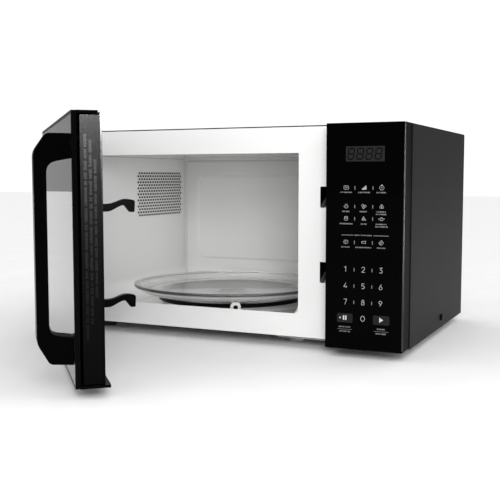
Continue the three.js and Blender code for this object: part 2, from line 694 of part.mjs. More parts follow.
function doorLatch() {
  const bar = block(range(LATCH_LEFT, LATCH_RIGHT), range(-14, -8), range(66, 196));
  return join(bar, ...LATCH_LEVELS.map(latchHook));
}

class Helix extends THREE.Curve {
  constructor(radius, turns, low, high, x, y) {
    super();
    Object.assign(this, { radius, turns, low, high, x, y });
  }

  getPoint(t, target = new THREE.Vector3()) {
    const angle = t * this.turns * 2 * Math.PI;
    const height = this.low + t * (this.high - this.low);
    return target.set(this.x + this.radius * Math.cos(angle), this.y + this.radius * Math.sin(angle), height);
  }
}

function latchSpring() {
  const turns = 7;
  const wire = new THREE.Shape();
  const wireRadius = 0.5;
  wire.absarc(0, 0, wireRadius, 0, Math.PI * 2);
  const path = new Helix(2.6, turns, 196 + wireRadius + GAP, 224, (LATCH_LEFT + LATCH_RIGHT) / 2, -11);
  return new THREE.ExtrudeGeometry(wire, { steps: turns * 12, extrudePath: path, curveSegments: 3 });
}

function addDoor(group) {
  const x = range(DOOR_LEFT, DOOR_RIGHT);
  const z = range(DOOR_BOTTOM, DOOR_TOP);
  const rim = 3 + GAP;
  addPiece(group, 'door_outer_frame', doorOuterFrame(), mattePlastic);
  addPiece(group, 'door_glass', block(range(x.low + rim, x.high - rim), range(FRONT_FACE, FRONT_FACE + 3),
    range(z.low + rim, z.high - rim)), doorGlassTint);
  addPiece(group, 'door_screen', block(range(x.low + 48, x.high - 60), range(-22.4, -20.4),
    range(z.low + 18, z.high - 18)), blackSteel);
  addPiece(group, 'door_choke_cover', doorChokeCover(), mattePlastic);
  addPiece(group, 'door_inner_film', block(range(x.low + 56, x.high - 48), range(-16, -15),
    range(z.low + 38, z.high - 38)), clearGlass);
  addPiece(group, 'door_handle', doorHandle(), mattePlastic);
  addPiece(group, 'door_latch', doorLatch(), mattePlastic);
  addPiece(group, 'latch_spring', latchSpring(), springSteel);
}

// ---------------------------------------------------------------- hinges, fixed to the cabinet

function hingeBracket(level, tab, pin) {
  const half = 5;
  const arm = new THREE.Shape();
  arm.moveTo(HINGE_X - half, -GAP).lineTo(HINGE_X - half, HINGE_Y);
  arm.absarc(HINGE_X, HINGE_Y, half, Math.PI, Math.PI * 2);
  arm.lineTo(HINGE_X + half, -GAP);
  const plate = extrude(arm, 'z', around(level, 2));
  const flange = block(around(HINGE_X, 2 * half), range(-1.8, -GAP), tab);
  return join(plate, flange, rod('z', 2.5, pin, HINGE_X, HINGE_Y, 16));
}

function addHinges(group) {
  addPiece(group, 'hinge_bracket_top', hingeBracket(249, range(248, 254), range(244, 254)), zincSteel);
  addPiece(group, 'hinge_bracket_bottom', hingeBracket(19, range(14, 20), range(13, 24)), zincSteel);
}

// ---------------------------------------------------------------- assembly

const oven = new THREE.Group();
addCabinet(oven);
addFeetAndFasteners(oven);
addTurntable(oven);
addControlPanel(oven);
addLatchReceiver(oven);
addPowerAndCooling(oven);
addHinges(oven);

const doorSwing = new THREE.Group();
doorSwing.position.set(HINGE_X, HINGE_Y, 0);
doorSwing.rotation.z = THREE.MathUtils.degToRad(-DOOR_OPEN_DEG);
const doorPieces = new THREE.Group();
doorPieces.position.set(-HINGE_X, -HINGE_Y, 0);
doorSwing.add(doorPieces);
addDoor(doorPieces);
oven.add(doorSwing);

oven.updateMatrixWorld(true);
const bounds = new THREE.Box3().setFromObject(oven, true);
const centre = bounds.getCenter(new THREE.Vector3());
oven.position.set(-centre.x, -centre.y, -bounds.min.z);
oven.updateMatrixWorld(true);

export default oven;
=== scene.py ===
# Looks of a countertop microwave oven with its door standing open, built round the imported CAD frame.
# Everything is in metres, in the CAD frame: X to the right, Y to the back, Z up.
import json
import math
import random

import bmesh
import bpy
from mathutils import Matrix, Vector


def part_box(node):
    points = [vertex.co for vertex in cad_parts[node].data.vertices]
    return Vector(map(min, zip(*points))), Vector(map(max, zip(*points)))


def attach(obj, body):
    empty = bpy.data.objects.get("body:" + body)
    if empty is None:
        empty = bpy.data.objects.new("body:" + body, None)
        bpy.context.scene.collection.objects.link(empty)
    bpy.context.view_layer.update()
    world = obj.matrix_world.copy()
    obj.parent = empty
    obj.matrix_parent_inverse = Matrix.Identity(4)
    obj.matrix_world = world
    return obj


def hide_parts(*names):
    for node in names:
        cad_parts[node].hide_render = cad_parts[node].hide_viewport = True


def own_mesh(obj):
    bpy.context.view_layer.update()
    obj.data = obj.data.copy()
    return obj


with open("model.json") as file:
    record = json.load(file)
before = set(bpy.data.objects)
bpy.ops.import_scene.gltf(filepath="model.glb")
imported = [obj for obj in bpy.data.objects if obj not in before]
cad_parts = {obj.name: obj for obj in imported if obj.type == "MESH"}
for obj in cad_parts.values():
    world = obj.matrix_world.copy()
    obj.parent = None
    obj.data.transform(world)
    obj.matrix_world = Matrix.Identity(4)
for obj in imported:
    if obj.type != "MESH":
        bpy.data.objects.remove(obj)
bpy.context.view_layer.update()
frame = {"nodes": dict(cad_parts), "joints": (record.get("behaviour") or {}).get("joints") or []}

MM = 0.001

# ------------------------------------------------------------------ driving places

JOINTS = {joint["name"]: joint for joint in frame["joints"]}
DOOR_HINGE = Vector(JOINTS["door_swing"]["pos_m"])
DOOR_OPEN = math.radians(JOINTS["door_swing"]["range_deg"][1])
TABLE_AXIS = Vector((*JOINTS["turntable_spin"]["pos_m"][:2], 0.0))
COVER_LOW, COVER_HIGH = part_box("outer_cover")
FRONT_Y = COVER_LOW.y
MIDDLE_X = (COVER_LOW.x + COVER_HIGH.x) / 2


def at(x, y, z):
    """A place from millimetres across the cabinet's middle, behind its front edge and above the worktop."""
    return Vector((MIDDLE_X + x * MM, FRONT_Y + y * MM, z * MM))


def cabinet_mm(corner):
    """The same millimetres worked out from a place, the other way round from at()."""
    return (corner.x - MIDDLE_X) / MM, (corner.y - FRONT_Y) / MM, corner.z / MM


def box_mm(node):
    """A node's lowest and highest corners in cabinet millimetres."""
    low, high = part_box(node)
    return cabinet_mm(low), cabinet_mm(high)


def from_side(depth, height, across):
    """For shapes drawn as seen from the side and swept across."""
    return at(across, depth, height)


def from_front(across, height, depth):
    """For shapes drawn as seen from the front and swept to the back."""
    return at(across, depth, height)


def about_axis(u, v, depth):
    """For shapes drawn about an upright axis at the origin, which prism() then turns into place."""
    return Vector((u * MM, v * MM, depth * MM))


def turned(centre, degrees):
    """Moves a shape drawn at the origin to centre, after turning it about the upright axis."""
    return Matrix.Translation(centre) @ Matrix.Rotation(math.radians(degrees), 4, "Z")


# Door pieces are drawn closed and then turned open about the hinge.
OPEN_DOOR = (Matrix.Translation(DOOR_HINGE) @ Matrix.Rotation(-DOOR_OPEN, 4, "Z")
             @ Matrix.Translation(-DOOR_HINGE))
CLOSED_DOOR = OPEN_DOOR.inverted()


def closed_box(node):
    """The box of a door node as if the door were shut."""
    points = [CLOSED_DOOR @ vertex.co for vertex in frame["nodes"][node].data.vertices]
    low = Vector([min(point[axis] for point in points) for axis in range(3)])
    high = Vector([max(point[axis] for point in points) for axis in range(3)])
    return low, high


def closed_box_mm(node):
    low, high = closed_box(node)
    return cabinet_mm(low), cabinet_mm(high)


# ------------------------------------------------------------------ camera, light and floor

ROOM_LIGHT = 1.05
MIRRORED_ROOM_LIGHT = 0.35
FLOOR_REACH = 8.0
# The only pieces that the sheen light falls on; the door puts them in.
DOOR_LIT = bpy.data.collections.new("door_lit")


def add_camera():
    """Looks from the right and a little above the oven's middle."""
    lens = 61.6
    azimuth = math.radians(24.86)
    elevation = math.radians(4.90)
    place = Vector((MIDDLE_X + 469.7 * MM, FRONT_Y - 917.2 * MM, 199.0 * MM))
    data = bpy.data.cameras.new("camera")
    data.lens = lens
    data.sensor_width = 36.0
    camera = bpy.data.objects.new("camera", data)
    camera.location = place
    camera.rotation_euler = (math.pi / 2 - elevation, 0.0, azimuth)
    bpy.context.scene.collection.objects.link(camera)
    bpy.context.scene.camera = camera


def add_area_light(name, place, target, size, power, spread=180.0, mirrored=True, diffuse=True, only=None):
    """A soft rectangular light in metres, watts and degrees. only is a collection that it acts on."""
    data = bpy.data.lights.new(name, "AREA")
    data.shape = "RECTANGLE"
    data.size, data.size_y = size
    data.energy = power
    data.spread = math.radians(spread)
    light = bpy.data.objects.new(name, data)
    light.location = place
    light.rotation_euler = (Vector(target) - Vector(place)).to_track_quat("-Z", "Y").to_euler()
    light.visible_camera = False
    light.visible_glossy = mirrored
    light.visible_diffuse = diffuse
    if only:
        light.light_linking.receiver_collection = only
    bpy.context.scene.collection.objects.link(light)


def add_lights():
    """One large soft light in front, a key, a fill in the cavity, and two that act on gloss only."""
    add_area_light("front_softbox", (0.75, -1.9, 1.6), (0.0, 0.0, 0.12), size=(1.4, 0.8), power=1.1)
    add_area_light("cavity_fill", at(95, 6, 150), at(-200, 215, 130), size=(0.05, 0.1), power=0.1,
                   spread=90.0, mirrored=False)
    add_area_light("key_light", (0.5, -0.85, 0.42), (0.08, 0.0, 0.14), size=(0.3, 0.3), power=1.9,
                   spread=120.0, mirrored=False)
    add_area_light("sheen_light", (0.46, -0.68, 0.5), (0.012, -0.28, 0.25), size=(0.12, 0.12), power=16.0,
                   spread=45.0, diffuse=False, only=DOOR_LIT)
    add_area_light("edge_light", (0.92, -0.2, 0.2), (0.238, -0.03, 0.16), size=(0.06, 0.4), power=0.5,
                   spread=60.0, diffuse=False)


def add_surroundings():
    """An even white room, which sharp reflections see at a lower strength."""
    world = bpy.data.worlds.new("studio")
    world.use_nodes = True
    nodes, links = world.node_tree.nodes, world.node_tree.links
    backdrop = nodes["Background"]
    backdrop.inputs["Strength"].default_value = ROOM_LIGHT
    mirrored = nodes.new("ShaderNodeBackground")
    mirrored.inputs["Strength"].default_value = MIRRORED_ROOM_LIGHT
    for background in (backdrop, mirrored):
        background.inputs["Color"].default_value = (1.0, 1.0, 1.0, 1.0)
    choose = nodes.new("ShaderNodeMixShader")
    links.new(nodes.new("ShaderNodeLightPath").outputs["Is Glossy Ray"], choose.inputs["Fac"])
    links.new(backdrop.outputs["Background"], choose.inputs[1])
    links.new(mirrored.outputs["Background"], choose.inputs[2])
    links.new(choose.outputs["Shader"], nodes["World Output"].inputs["Surface"])
    bpy.context.scene.world = world
    bpy.context.scene.view_settings.view_transform = "Standard"


def add_floor():
    mesh = bpy.data.meshes.new("floor")
    corners = [(x * FLOOR_REACH, y * FLOOR_REACH, 0) for x, y in ((-1, -1), (1, -1), (1, 1), (-1, 1))]
    mesh.from_pydata(corners, [], [(0, 1, 2, 3)])
    floor = bpy.data.objects.new("floor", mesh)
    bpy.context.scene.collection.objects.link(floor)
    floor.data.materials.append(surface("floor_paint", (0.97, 0.97, 0.97), 0.7, grain=60, depth=0.02))


# ------------------------------------------------------------------ materials


def mix_colour(nodes, links, factor, first, second):
    mix = nodes.new("ShaderNodeMix")
    mix.data_type = "RGBA"
    mix.inputs["A"].default_value = (*first, 1.0)
    mix.inputs["B"].default_value = (*second, 1.0)
    links.new(factor, mix.inputs["Factor"])
    return mix.outputs["Result"]


def noise(nodes, links, place, scale, detail=3.0):
    texture = nodes.new("ShaderNodeTexNoise")
    texture.inputs["Scale"].default_value = scale
    texture.inputs["Detail"].default_value = detail
    links.new(place, texture.inputs["Vector"])
    return texture.outputs["Fac"]


def remap(nodes, links, value, low, high, start=0.3, end=0.7):
    node = nodes.new("ShaderNodeMapRange")
    node.inputs["From Min"].default_value = start
    node.inputs["From Max"].default_value = end
    node.inputs["To Min"].default_value = low
    node.inputs["To Max"].default_value = high
    links.new(value, node.inputs["Value"])
    return node.outputs["Result"]


def blank_material(name):
    material = bpy.data.materials.new(name)
    material.use_nodes = True
    nodes, links = material.node_tree.nodes, material.node_tree.links
    place = nodes.new("ShaderNodeTexCoord").outputs["Object"]
    return material, nodes, links, nodes["Principled BSDF"], place


def surface(name, colour, roughness, metallic=0.0, specular=0.5, variation=0.06, patches=12.0,
            grain=900.0, depth=0.06, grain_size=MM):
    """A moulded, painted or metal surface: slow colour and gloss patches over a fine grain."""
    material, nodes, links, shader, place = blank_material(name)
    slow = noise(nodes, links, place, patches)
    fine = noise(nodes, links, place, grain, 4.0)
    darker = [channel * (1 - variation) for channel in colour]
    lighter = [min(1.0, channel * (1 + variation)) for channel in colour]
    links.new(mix_colour(nodes, links, slow, darker, lighter), shader.inputs["Base Color"])
    links.new(remap(nodes, links, fine, roughness * 0.88, min(1.0, roughness * 1.12)),
              shader.inputs["Roughness"])
    bump = nodes.new("ShaderNodeBump")
    bump.inputs["Strength"].default_value = depth
    bump.inputs["Distance"].default_value = grain_size
    links.new(fine, bump.inputs["Height"])
    links.new(bump.outputs["Normal"], shader.inputs["Normal"])
    shader.inputs["Metallic"].default_value = metallic
    shader.inputs["Specular IOR Level"].default_value = specular
    return material


def powder_coat(name, colour):
    """Baked powder paint with an even pimpled texture."""
    material, nodes, links, shader, place = blank_material(name)
    cells = nodes.new("ShaderNodeTexVoronoi")
    cells.feature = "SMOOTH_F1"
    cells.inputs["Scale"].default_value = 1400.0
    links.new(place, cells.inputs["Vector"])
    slow = noise(nodes, links, place, 9.0)
    fine = noise(nodes, links, place, 2600.0, 2.0)
    dark = [channel * 0.8 for channel in colour]
    light = [channel * 1.25 for channel in colour]
    links.new(mix_colour(nodes, links, slow, dark, light), shader.inputs["Base Color"])
    links.new(remap(nodes, links, fine, 0.46, 0.6), shader.inputs["Roughness"])
    bump = nodes.new("ShaderNodeBump")
    bump.inputs["Strength"].default_value = 0.28
    bump.inputs["Distance"].default_value = 0.25 * MM
    links.new(cells.outputs["Distance"], bump.inputs["Height"])
    links.new(bump.outputs["Normal"], shader.inputs["Normal"])
    shader.inputs["Specular IOR Level"].default_value = 0.1
    return material


def zinc_sheet(name):
    """Galvanised sheet: flat crystal patches that differ a little in tone and gloss."""
    material, nodes, links, shader, place = blank_material(name)
    spangle = nodes.new("ShaderNodeTexVoronoi")
    spangle.inputs["Scale"].default_value = 170.0
    links.new(place, spangle.inputs["Vector"])
    tone = nodes.new("ShaderNodeSeparateColor")
    links.new(spangle.outputs["Color"], tone.inputs["Color"])
    links.new(mix_colour(nodes, links, tone.outputs["Red"], (0.42, 0.43, 0.44), (0.6, 0.61, 0.62)),
              shader.inputs["Base Color"])
    links.new(remap(nodes, links, tone.outputs["Green"], 0.3, 0.48, 0.0, 1.0), shader.inputs["Roughness"])
    shader.inputs["Metallic"].default_value = 0.9
    return material


def clear_glass(name, colour, roughness=0.015, clear=1.0):
    """Pressed glass with the faint waviness of the mould."""
    material, nodes, links, shader, place = blank_material(name)
    wave = noise(nodes, links, place, 45.0, 2.0)
    bump = nodes.new("ShaderNodeBump")
    bump.inputs["Strength"].default_value = 0.05
    bump.inputs["Distance"].default_value = MM
    links.new(wave, bump.inputs["Height"])
    links.new(bump.outputs["Normal"], shader.inputs["Normal"])
    tint = [channel * 0.96 for channel in colour]
    links.new(mix_colour(nodes, links, wave, tint, colour), shader.inputs["Base Color"])
    shader.inputs["Roughness"].default_value = roughness
    shader.inputs["Transmission Weight"].default_value = clear
    shader.inputs["IOR"].default_value = 1.5
    return material


def perforated_sheet(name, pitch, hole, colour):
    """Painted steel with a staggered field of round holes too fine to cut one by one."""
    material, nodes, links, shader, place = blank_material(name)
    split = nodes.new("ShaderNodeSeparateXYZ")
    links.new(place, split.inputs["Vector"])

    def calculate(kind, first, second):
        node = nodes.new("ShaderNodeMath")
        node.operation = kind
        for socket, value in zip(node.inputs, (first, second)):
            if isinstance(value, (int, float)):
                socket.default_value = value
            else:
                links.new(value, socket)
        return node.outputs["Value"]

    along = calculate("MULTIPLY", split.outputs["X"], 1 / (math.cos(DOOR_OPEN) * pitch))
    up = calculate("MULTIPLY", split.outputs["Z"], 1 / pitch)
    diagonals = [calculate("ADD", along, up), calculate("SUBTRACT", along, up)]
    offsets = [calculate("SUBTRACT", calculate("FRACT", value, 0.0), 0.5) for value in diagonals]
    squares = [calculate("MULTIPLY", offset, offset) for offset in offsets]
    open_hole = calculate("LESS_THAN", calculate("ADD", *squares), (hole / pitch / 2) ** 2 * 2)
    shader.inputs["Roughness"].default_value = 0.4
    tone = noise(nodes, links, place, 300.0)
    links.new(mix_colour(nodes, links, tone, [channel * 0.8 for channel in colour], colour),
              shader.inputs["Base Color"])
    links.new(calculate("SUBTRACT", 1.0, open_hole), shader.inputs["Alpha"])
    return material


def build_materials():
    return {
        "cover": powder_coat("cover_powder_coat", (0.008, 0.008, 0.0083)),
        "enamel": surface("white_enamel", (0.67, 0.67, 0.665), 0.1, variation=0.015, grain=130, depth=0.03),
        # The face plate's enamel is the cavity's white enamel painted lighter, a painted highlight for the
        # light falling on the front face.
        "lit_face_enamel": surface("lit_face_enamel", (0.85, 0.85, 0.845), 0.12, variation=0.01, grain=130,
                               depth=0.03),
        "zinc": zinc_sheet("zinc_sheet"),
        "matte": surface("moulded_black", (0.0015, 0.0015, 0.0017), 0.42, variation=0.15, grain=1500,
                         depth=0.12, grain_size=0.4 * MM, specular=0.12),
        "moulding": surface("textured_black", (0.0008, 0.0008, 0.0009), 0.24, variation=0.2, grain=1100,
                            depth=0.05, grain_size=0.5 * MM, specular=0.03),
        "handle": surface("handle_black", (0.0006, 0.0006, 0.0007), 0.24, variation=0.15, grain=1700,
                          depth=0.05, grain_size=0.4 * MM, specular=0.015),
        "case": surface("case_black", (0.003, 0.003, 0.0032), 0.5, variation=0.15, grain=1500,
                        depth=0.06, grain_size=0.4 * MM, specular=0.03),
        "edge": surface("edge_gloss", (0.002, 0.002, 0.0022), 0.14, variation=0.15, grain=300, depth=0.002,
                        specular=0.6),
        "receiver": surface("receiver_grey", (0.16, 0.16, 0.16), 0.4, variation=0.1, grain=1200, depth=0.06,
                            specular=0.2),
        "ramp": surface("ramp_grey", (0.5, 0.5, 0.5), 0.4, variation=0.1, grain=1200, depth=0.06,
                        specular=0.3),
        "raised": surface("raised_black", (0.0022, 0.0022, 0.0024), 0.34, variation=0.2, grain=1100,
                          depth=0.05, grain_size=0.5 * MM, specular=0.035),
        "satin": surface("satin_black", (0.0015, 0.0015, 0.0017), 0.25, variation=0.15, grain=1800,
                         depth=0.05, grain_size=0.4 * MM, specular=0.02),
        "fascia": surface("fascia_gloss", (0.0006, 0.0006, 0.0007), 0.08, variation=0.2, grain=300,
                          depth=0.01, specular=0.02),
        "display": surface("display_filter", (0.013, 0.0133, 0.0136), 0.22, variation=0.12, grain=700,
                           depth=0.02, specular=0.2),
        "segment": surface("display_segment", (0.0015, 0.0015, 0.0015), 0.3, specular=0.02),
        "ink": surface("white_ink", (0.55, 0.55, 0.55), 0.55, variation=0.1, grain=2500, depth=0.03,
                       specular=0.2),
        "dim_ink": surface("grey_ink", (0.2, 0.2, 0.2), 0.55, variation=0.1, grain=2500, depth=0.03,
                           specular=0.2),
        "key": surface("key_print", (0.012, 0.012, 0.0125), 0.3, variation=0.2, grain=1500, depth=0.03,
                       specular=0.1),
        "plate_glass": clear_glass("turntable_glass", (0.84, 0.845, 0.843), clear=0.96),
        "door_glass": clear_glass("door_glass_tint", (0.32, 0.32, 0.33), 0.01),
        "print": surface("door_print", (0.003, 0.003, 0.0032), 0.35, specular=0.2),
        "film": clear_glass("inner_film", (0.85, 0.86, 0.86), 0.05),
        "screen": perforated_sheet("door_screen_holes", 2.2 * MM, 1.3 * MM, (0.02, 0.02, 0.021)),
        "white_plastic": surface("roller_white", (0.78, 0.78, 0.76), 0.38, variation=0.03, grain=900,
                                 depth=0.05),
        "rubber": surface("foot_rubber", (0.02, 0.02, 0.02), 0.75, variation=0.2, grain=1200, depth=0.2),
        "foot_steel": surface("foot_paint", (0.5, 0.505, 0.51), 0.35, metallic=0.5, variation=0.1),
        "iron": surface("lamination_steel", (0.1, 0.09, 0.085), 0.6, metallic=0.6, variation=0.3),
        "copper": surface("varnished_copper", (0.5, 0.22, 0.1), 0.35, metallic=0.8, variation=0.2),
        "aluminium": surface("drawn_aluminium", (0.6, 0.61, 0.63), 0.35, metallic=1.0, variation=0.08),
        "mica": surface("mica_sheet", (0.5, 0.44, 0.33), 0.5, variation=0.2, patches=120),
        "board": surface("board_mask", (0.03, 0.12, 0.05), 0.45, variation=0.2, patches=60),
        "bulb": clear_glass("bulb_glass", (0.97, 0.95, 0.9)),
        "spring": surface("spring_wire", (0.45, 0.45, 0.46), 0.3, metallic=1.0),
        "screw": surface("black_zinc", (0.002, 0.002, 0.002), 0.4, variation=0.2, specular=0.05),
    }


MATERIALS = build_materials()

CAD_FINISH = {
    "zinc": ["base_plate", "rear_panel", "turntable_motor", "hinge_bracket_top", "hinge_bracket_bottom"],
    "matte": ["cord_gland", "latch_bracket", "fan_shroud", "fan_rotor", "air_duct", "display_module",
              "interlock_switch_upper", "interlock_switch_lower", "interlock_switch_monitor"],
    "ramp": ["latch_ramp_upper", "latch_ramp_lower"],
    "aluminium": ["waveguide", "magnetron", "capacitor"],
    "iron": ["transformer_core", "fan_motor"],
    "copper": ["transformer_primary", "transformer_secondary"],
    "mica": ["waveguide_cover"],
    "board": ["control_board"],
    "bulb": ["oven_lamp"],
    "white_plastic": ["lamp_holder"],
    "display": ["keypad_membrane"],
    "rubber": ["foot_front_left", "foot_front_right", "foot_rear_left", "foot_rear_right"],
    "foot_steel": ["foot_middle"],
}


def finish_cad_nodes():
    """Gives the CAD nodes that stay visible, inside the oven or small outside it, their materials."""
    for key, names in CAD_FINISH.items():
        for name in names:
            materials = frame["nodes"][name].data.materials
            materials.clear()
            materials.append(MATERIALS[key])


# ------------------------------------------------------------------ mesh helpers

SHARP_ANGLE = math.radians(32)


def add_piece(name, bm, material, body, stands_for=(), round_edges=0.0, segments=2):
    """Makes the object, rounds its edges by that many millimetres, and ties it to the CAD model."""
    mesh = bpy.data.meshes.new(name)
    bmesh.ops.recalc_face_normals(bm, faces=bm.faces)
    bm.to_mesh(mesh)
    bm.free()
    piece = bpy.data.objects.new(name, mesh)
    bpy.context.scene.collection.objects.link(piece)
    mesh.materials.append(MATERIALS[material])
    mesh.shade_smooth()
    mesh.set_sharp_from_angle(angle=SHARP_ANGLE)
    if round_edges:
        bevel = piece.modifiers.new("rounded_edges", "BEVEL")
        bevel.width = round_edges * MM
        bevel.segments = segments
        bevel.limit_method = "ANGLE"
        bevel.angle_limit = SHARP_ANGLE
        bevel.harden_normals = True
    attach(piece, body)
    if stands_for:
        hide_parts(*stands_for)
    return piece


def rectangle(low_u, low_v, high_u, high_v, radii=0.0, steps=6):
    """A rectangle, counter-clockwise from its lower left corner; radii may differ by corner."""
    if isinstance(radii, (int, float)):
        radii = [radii] * 4
    corners = [(low_u, low_v, 1, 1, 180), (high_u, low_v, -1, 1, 270), (high_u, high_v, -1, -1, 0),
               (low_u, high_v, 1, -1, 90)]
    points = []
    for (u, v, inward_u, inward_v, start), radius in zip(corners, radii):
        if radius <= 0:
            points.append((u, v))
            continue
        for step in range(steps + 1):
            angle = math.radians(start + 90 * step / steps)
            points.append((u + inward_u * radius + radius * math.cos(angle),
                           v + inward_v * radius + radius * math.sin(angle)))
    return points


def grown(edges, margin, radii):
    """A rectangle that stands margin outside the given left, bottom, right and top."""
    left, bottom, right, top = edges
    return rectangle(left - margin, bottom - margin, right + margin, top + margin, radii)


def circle(u, v, radius, steps=16, start=0.0):
    turns = [start + 2 * math.pi * step / steps for step in range(steps)]
    return [(u + radius * math.cos(turn), v + radius * math.sin(turn)) for turn in turns]


def prism(bm, loops, low, high, place, turn=None):
    """Adds a closed solid to bm: an outline, less its holes, swept from low to high."""
    rings = []
    bottom_edges = []
    for loop in loops:
        bottom = [bm.verts.new(place(u, v, low)) for u, v in loop]
        top = [bm.verts.new(place(u, v, high)) for u, v in loop]
        rings.append((bottom, top))
        count = len(loop)
        for index in range(count):
            following = (index + 1) % count
            bm.faces.new((bottom[index], bottom[following], top[following], top[index]))
            bottom_edges.append(bm.edges.get((bottom[index], bottom[following])))
    filled = bmesh.ops.triangle_fill(bm, use_beauty=True, use_dissolve=False, edges=bottom_edges)
    partner = {lower: upper for bottom, top in rings for lower, upper in zip(bottom, top)}
    for face in [item for item in filled["geom"] if isinstance(item, bmesh.types.BMFace)]:
        bm.faces.new([partner[vertex] for vertex in face.verts])
    if turn is not None:
        vertices = [vertex for bottom, top in rings for vertex in bottom + top]
        bmesh.ops.transform(bm, matrix=turn, verts=vertices)


def block(bm, low, high, turn=None):
    """A box between two corners given in cabinet millimetres."""
    prism(bm, [rectangle(low[0], low[1], high[0], high[1])], low[2], high[2], at, turn)


def dished_sheet(bm, loops, thickness, place):
    """A pressed sheet: nested loops of equal point counts, each with its depth, closed by a flat middle."""
    fronts = [[bm.verts.new(place(u, v, depth)) for u, v in loop] for loop, depth in loops]
    backs = [[bm.verts.new(place(u, v, depth + thickness)) for u, v in loop] for loop, depth in loops]
    count = len(fronts[0])
    rows = fronts + backs[::-1]
    for first, second in zip(rows, rows[1:]):
        if first is fronts[-1]:
            continue
        for index in range(count):
            following = (index + 1) % count
            bm.faces.new((first[index], first[following], second[following], second[index]))
    for index in range(count):
        following = (index + 1) % count
        bm.faces.new((fronts[0][index], backs[0][index], backs[0][following], fronts[0][following]))
    bm.faces.new(fronts[-1])
    bm.faces.new(backs[-1])


def lathe(bm, profile, axis_point, steps=96, axis="z", turn=None):
    """Adds a closed body of revolution about x or z through axis_point, which is in metres.

    The profile's points are a radius and a height in millimetres. It closes on itself or on the axis.
    """
    rows = []
    for radius, height in profile:
        ring = circle(0, 0, radius * MM, steps) if radius > 0 else [(0, 0)]
        rows.append([bm.verts.new((u, v, height * MM)) for u, v in ring])
    pairs = list(zip(rows, rows[1:]))
    if profile[0][0] > 0 and profile[-1][0] > 0:
        pairs.append((rows[-1], rows[0]))
    for first, second in pairs:
        for step in range(steps):
            following = (step + 1) % steps
            a = [first[0]] if len(first) == 1 else [first[step], first[following]]
            b = [second[0]] if len(second) == 1 else [second[following], second[step]]
            if len(a) + len(b) > 2:
                bm.faces.new(a + b)
    spin = Matrix.Rotation(math.pi / 2, 4, "Y") if axis == "x" else Matrix.Identity(4)
    matrix = (turn or Matrix.Identity(4)) @ Matrix.Translation(axis_point) @ spin
    bmesh.ops.transform(bm, matrix=matrix, verts=[vertex for row in rows for vertex in row])


# ------------------------------------------------------------------ cabinet

(_, _, CABINET_BOTTOM), (HALF_WIDTH, CABINET_DEPTH, CABINET_TOP) = box_mm("outer_cover")
SHEET = 1.0
BEND = 2.5

(PLATE_LEFT, _, PLATE_BOTTOM), (PLATE_RIGHT, _, PLATE_TOP) = box_mm("front_plate")
(CEILING_LEFT, CAVITY_FRONT, CAVITY_CEILING), (CEILING_RIGHT, CAVITY_BACK, _) = box_mm("cavity_ceiling")
(FLOOR_LEFT, _, _), (FLOOR_RIGHT, _, CAVITY_FLOOR) = box_mm("cavity_floor")
(_, BACK_FACE, BACK_BOTTOM), (_, _, BACK_TOP) = box_mm("cavity_back_wall")
CAVITY_LEFT = CEILING_LEFT + SHEET
CAVITY_RIGHT = CEILING_RIGHT - SHEET
CAVITY_COVE = 30.0
OPENING_BOTTOM = 40.2
LATCH_LEVELS = (171.3, 85.3)
LATCH_SLOT = (132.7, 150.5)


def arc(u, v, radius, start, end, steps=8):
    angles = [math.radians(start + (end - start) * step / steps) for step in range(steps + 1)]
    return [(u + radius * math.cos(angle), v + radius * math.sin(angle)) for angle in angles]


def outer_cover():
    """One folded sheet over the left, top and right, its front edge turned back under itself."""
    side, top, bend = HALF_WIDTH, CABINET_TOP, BEND
    bm = bmesh.new()

    def fold(thickness):
        outside = [(side, CABINET_BOTTOM), *arc(side - bend, top - bend, bend, 0, 90),
                   *arc(-side + bend, top - bend, bend, 90, 180), (-side, CABINET_BOTTOM)]
        inner = bend - min(thickness, bend - 0.3)
        inside = [(-side + thickness, CABINET_BOTTOM),
                  *arc(-side + thickness + inner, top - thickness - inner, inner, 180, 90),
                  *arc(side - thickness - inner, top - thickness - inner, inner, 90, 0),
                  (side - thickness, CABINET_BOTTOM)]
        return outside + inside

    hem = 8.0
    folded_hem = 1.5
    prism(bm, [fold(SHEET)], hem, CABINET_DEPTH, from_front)
    prism(bm, [fold(folded_hem)], 0.0, hem, from_front)
    add_piece("cover_shell", bm, "cover", "cabinet", ["outer_cover"], round_edges=0.35)


def front_plate():
    """The enamelled face round the cavity's mouth, with the two holes the latch hooks go into."""
    bm = bmesh.new()
    outline = rectangle(PLATE_LEFT, PLATE_BOTTOM, PLATE_RIGHT, PLATE_TOP, 1.0, 3)
    mouth = rectangle(CAVITY_LEFT + 0.5, OPENING_BOTTOM, CAVITY_RIGHT - 0.8, CAVITY_CEILING - 0.4,
                      [6.0, 6.0, 0.8, 0.8])
    holes = [rectangle(LATCH_SLOT[0], level - 7.5, LATCH_SLOT[1], level + 16.5, 0.8, 3)
             for level in LATCH_LEVELS]
    prism(bm, [outline, mouth, *holes], 0.0, SHEET, from_front)
    # The face uses the lighter enamel, painted light on the same white enamel as the cavity.
    add_piece("face_plate", bm, "lit_face_enamel", "cabinet", ["front_plate"], round_edges=0.3)


POCKET_LEFT, POCKET_RIGHT = LATCH_SLOT[0] - 1.7, LATCH_SLOT[1] + 1.5
POCKET_BACK = 30.7


def latch_pockets():
    """A black moulded well behind each slot, open to the front, that guides the hook."""
    bm = bmesh.new()
    wall = 1.0
    for level in LATCH_LEVELS:
        low, high = level - 9.5, level + 18.5
        outer = rectangle(POCKET_LEFT, low, POCKET_RIGHT, high, 1.5)
        inner = rectangle(POCKET_LEFT + wall, low + wall, POCKET_RIGHT - wall, high - wall, 1)
        end = rectangle(POCKET_LEFT + 0.5, low + 0.5, POCKET_RIGHT - 0.5, high - 0.5, 1)
        prism(bm, [outer, inner], SHEET + 0.1, POCKET_BACK, from_front)
        prism(bm, [end], POCKET_BACK - 0.8, POCKET_BACK, from_front)
    add_piece("latch_pockets", bm, "matte", "cabinet")


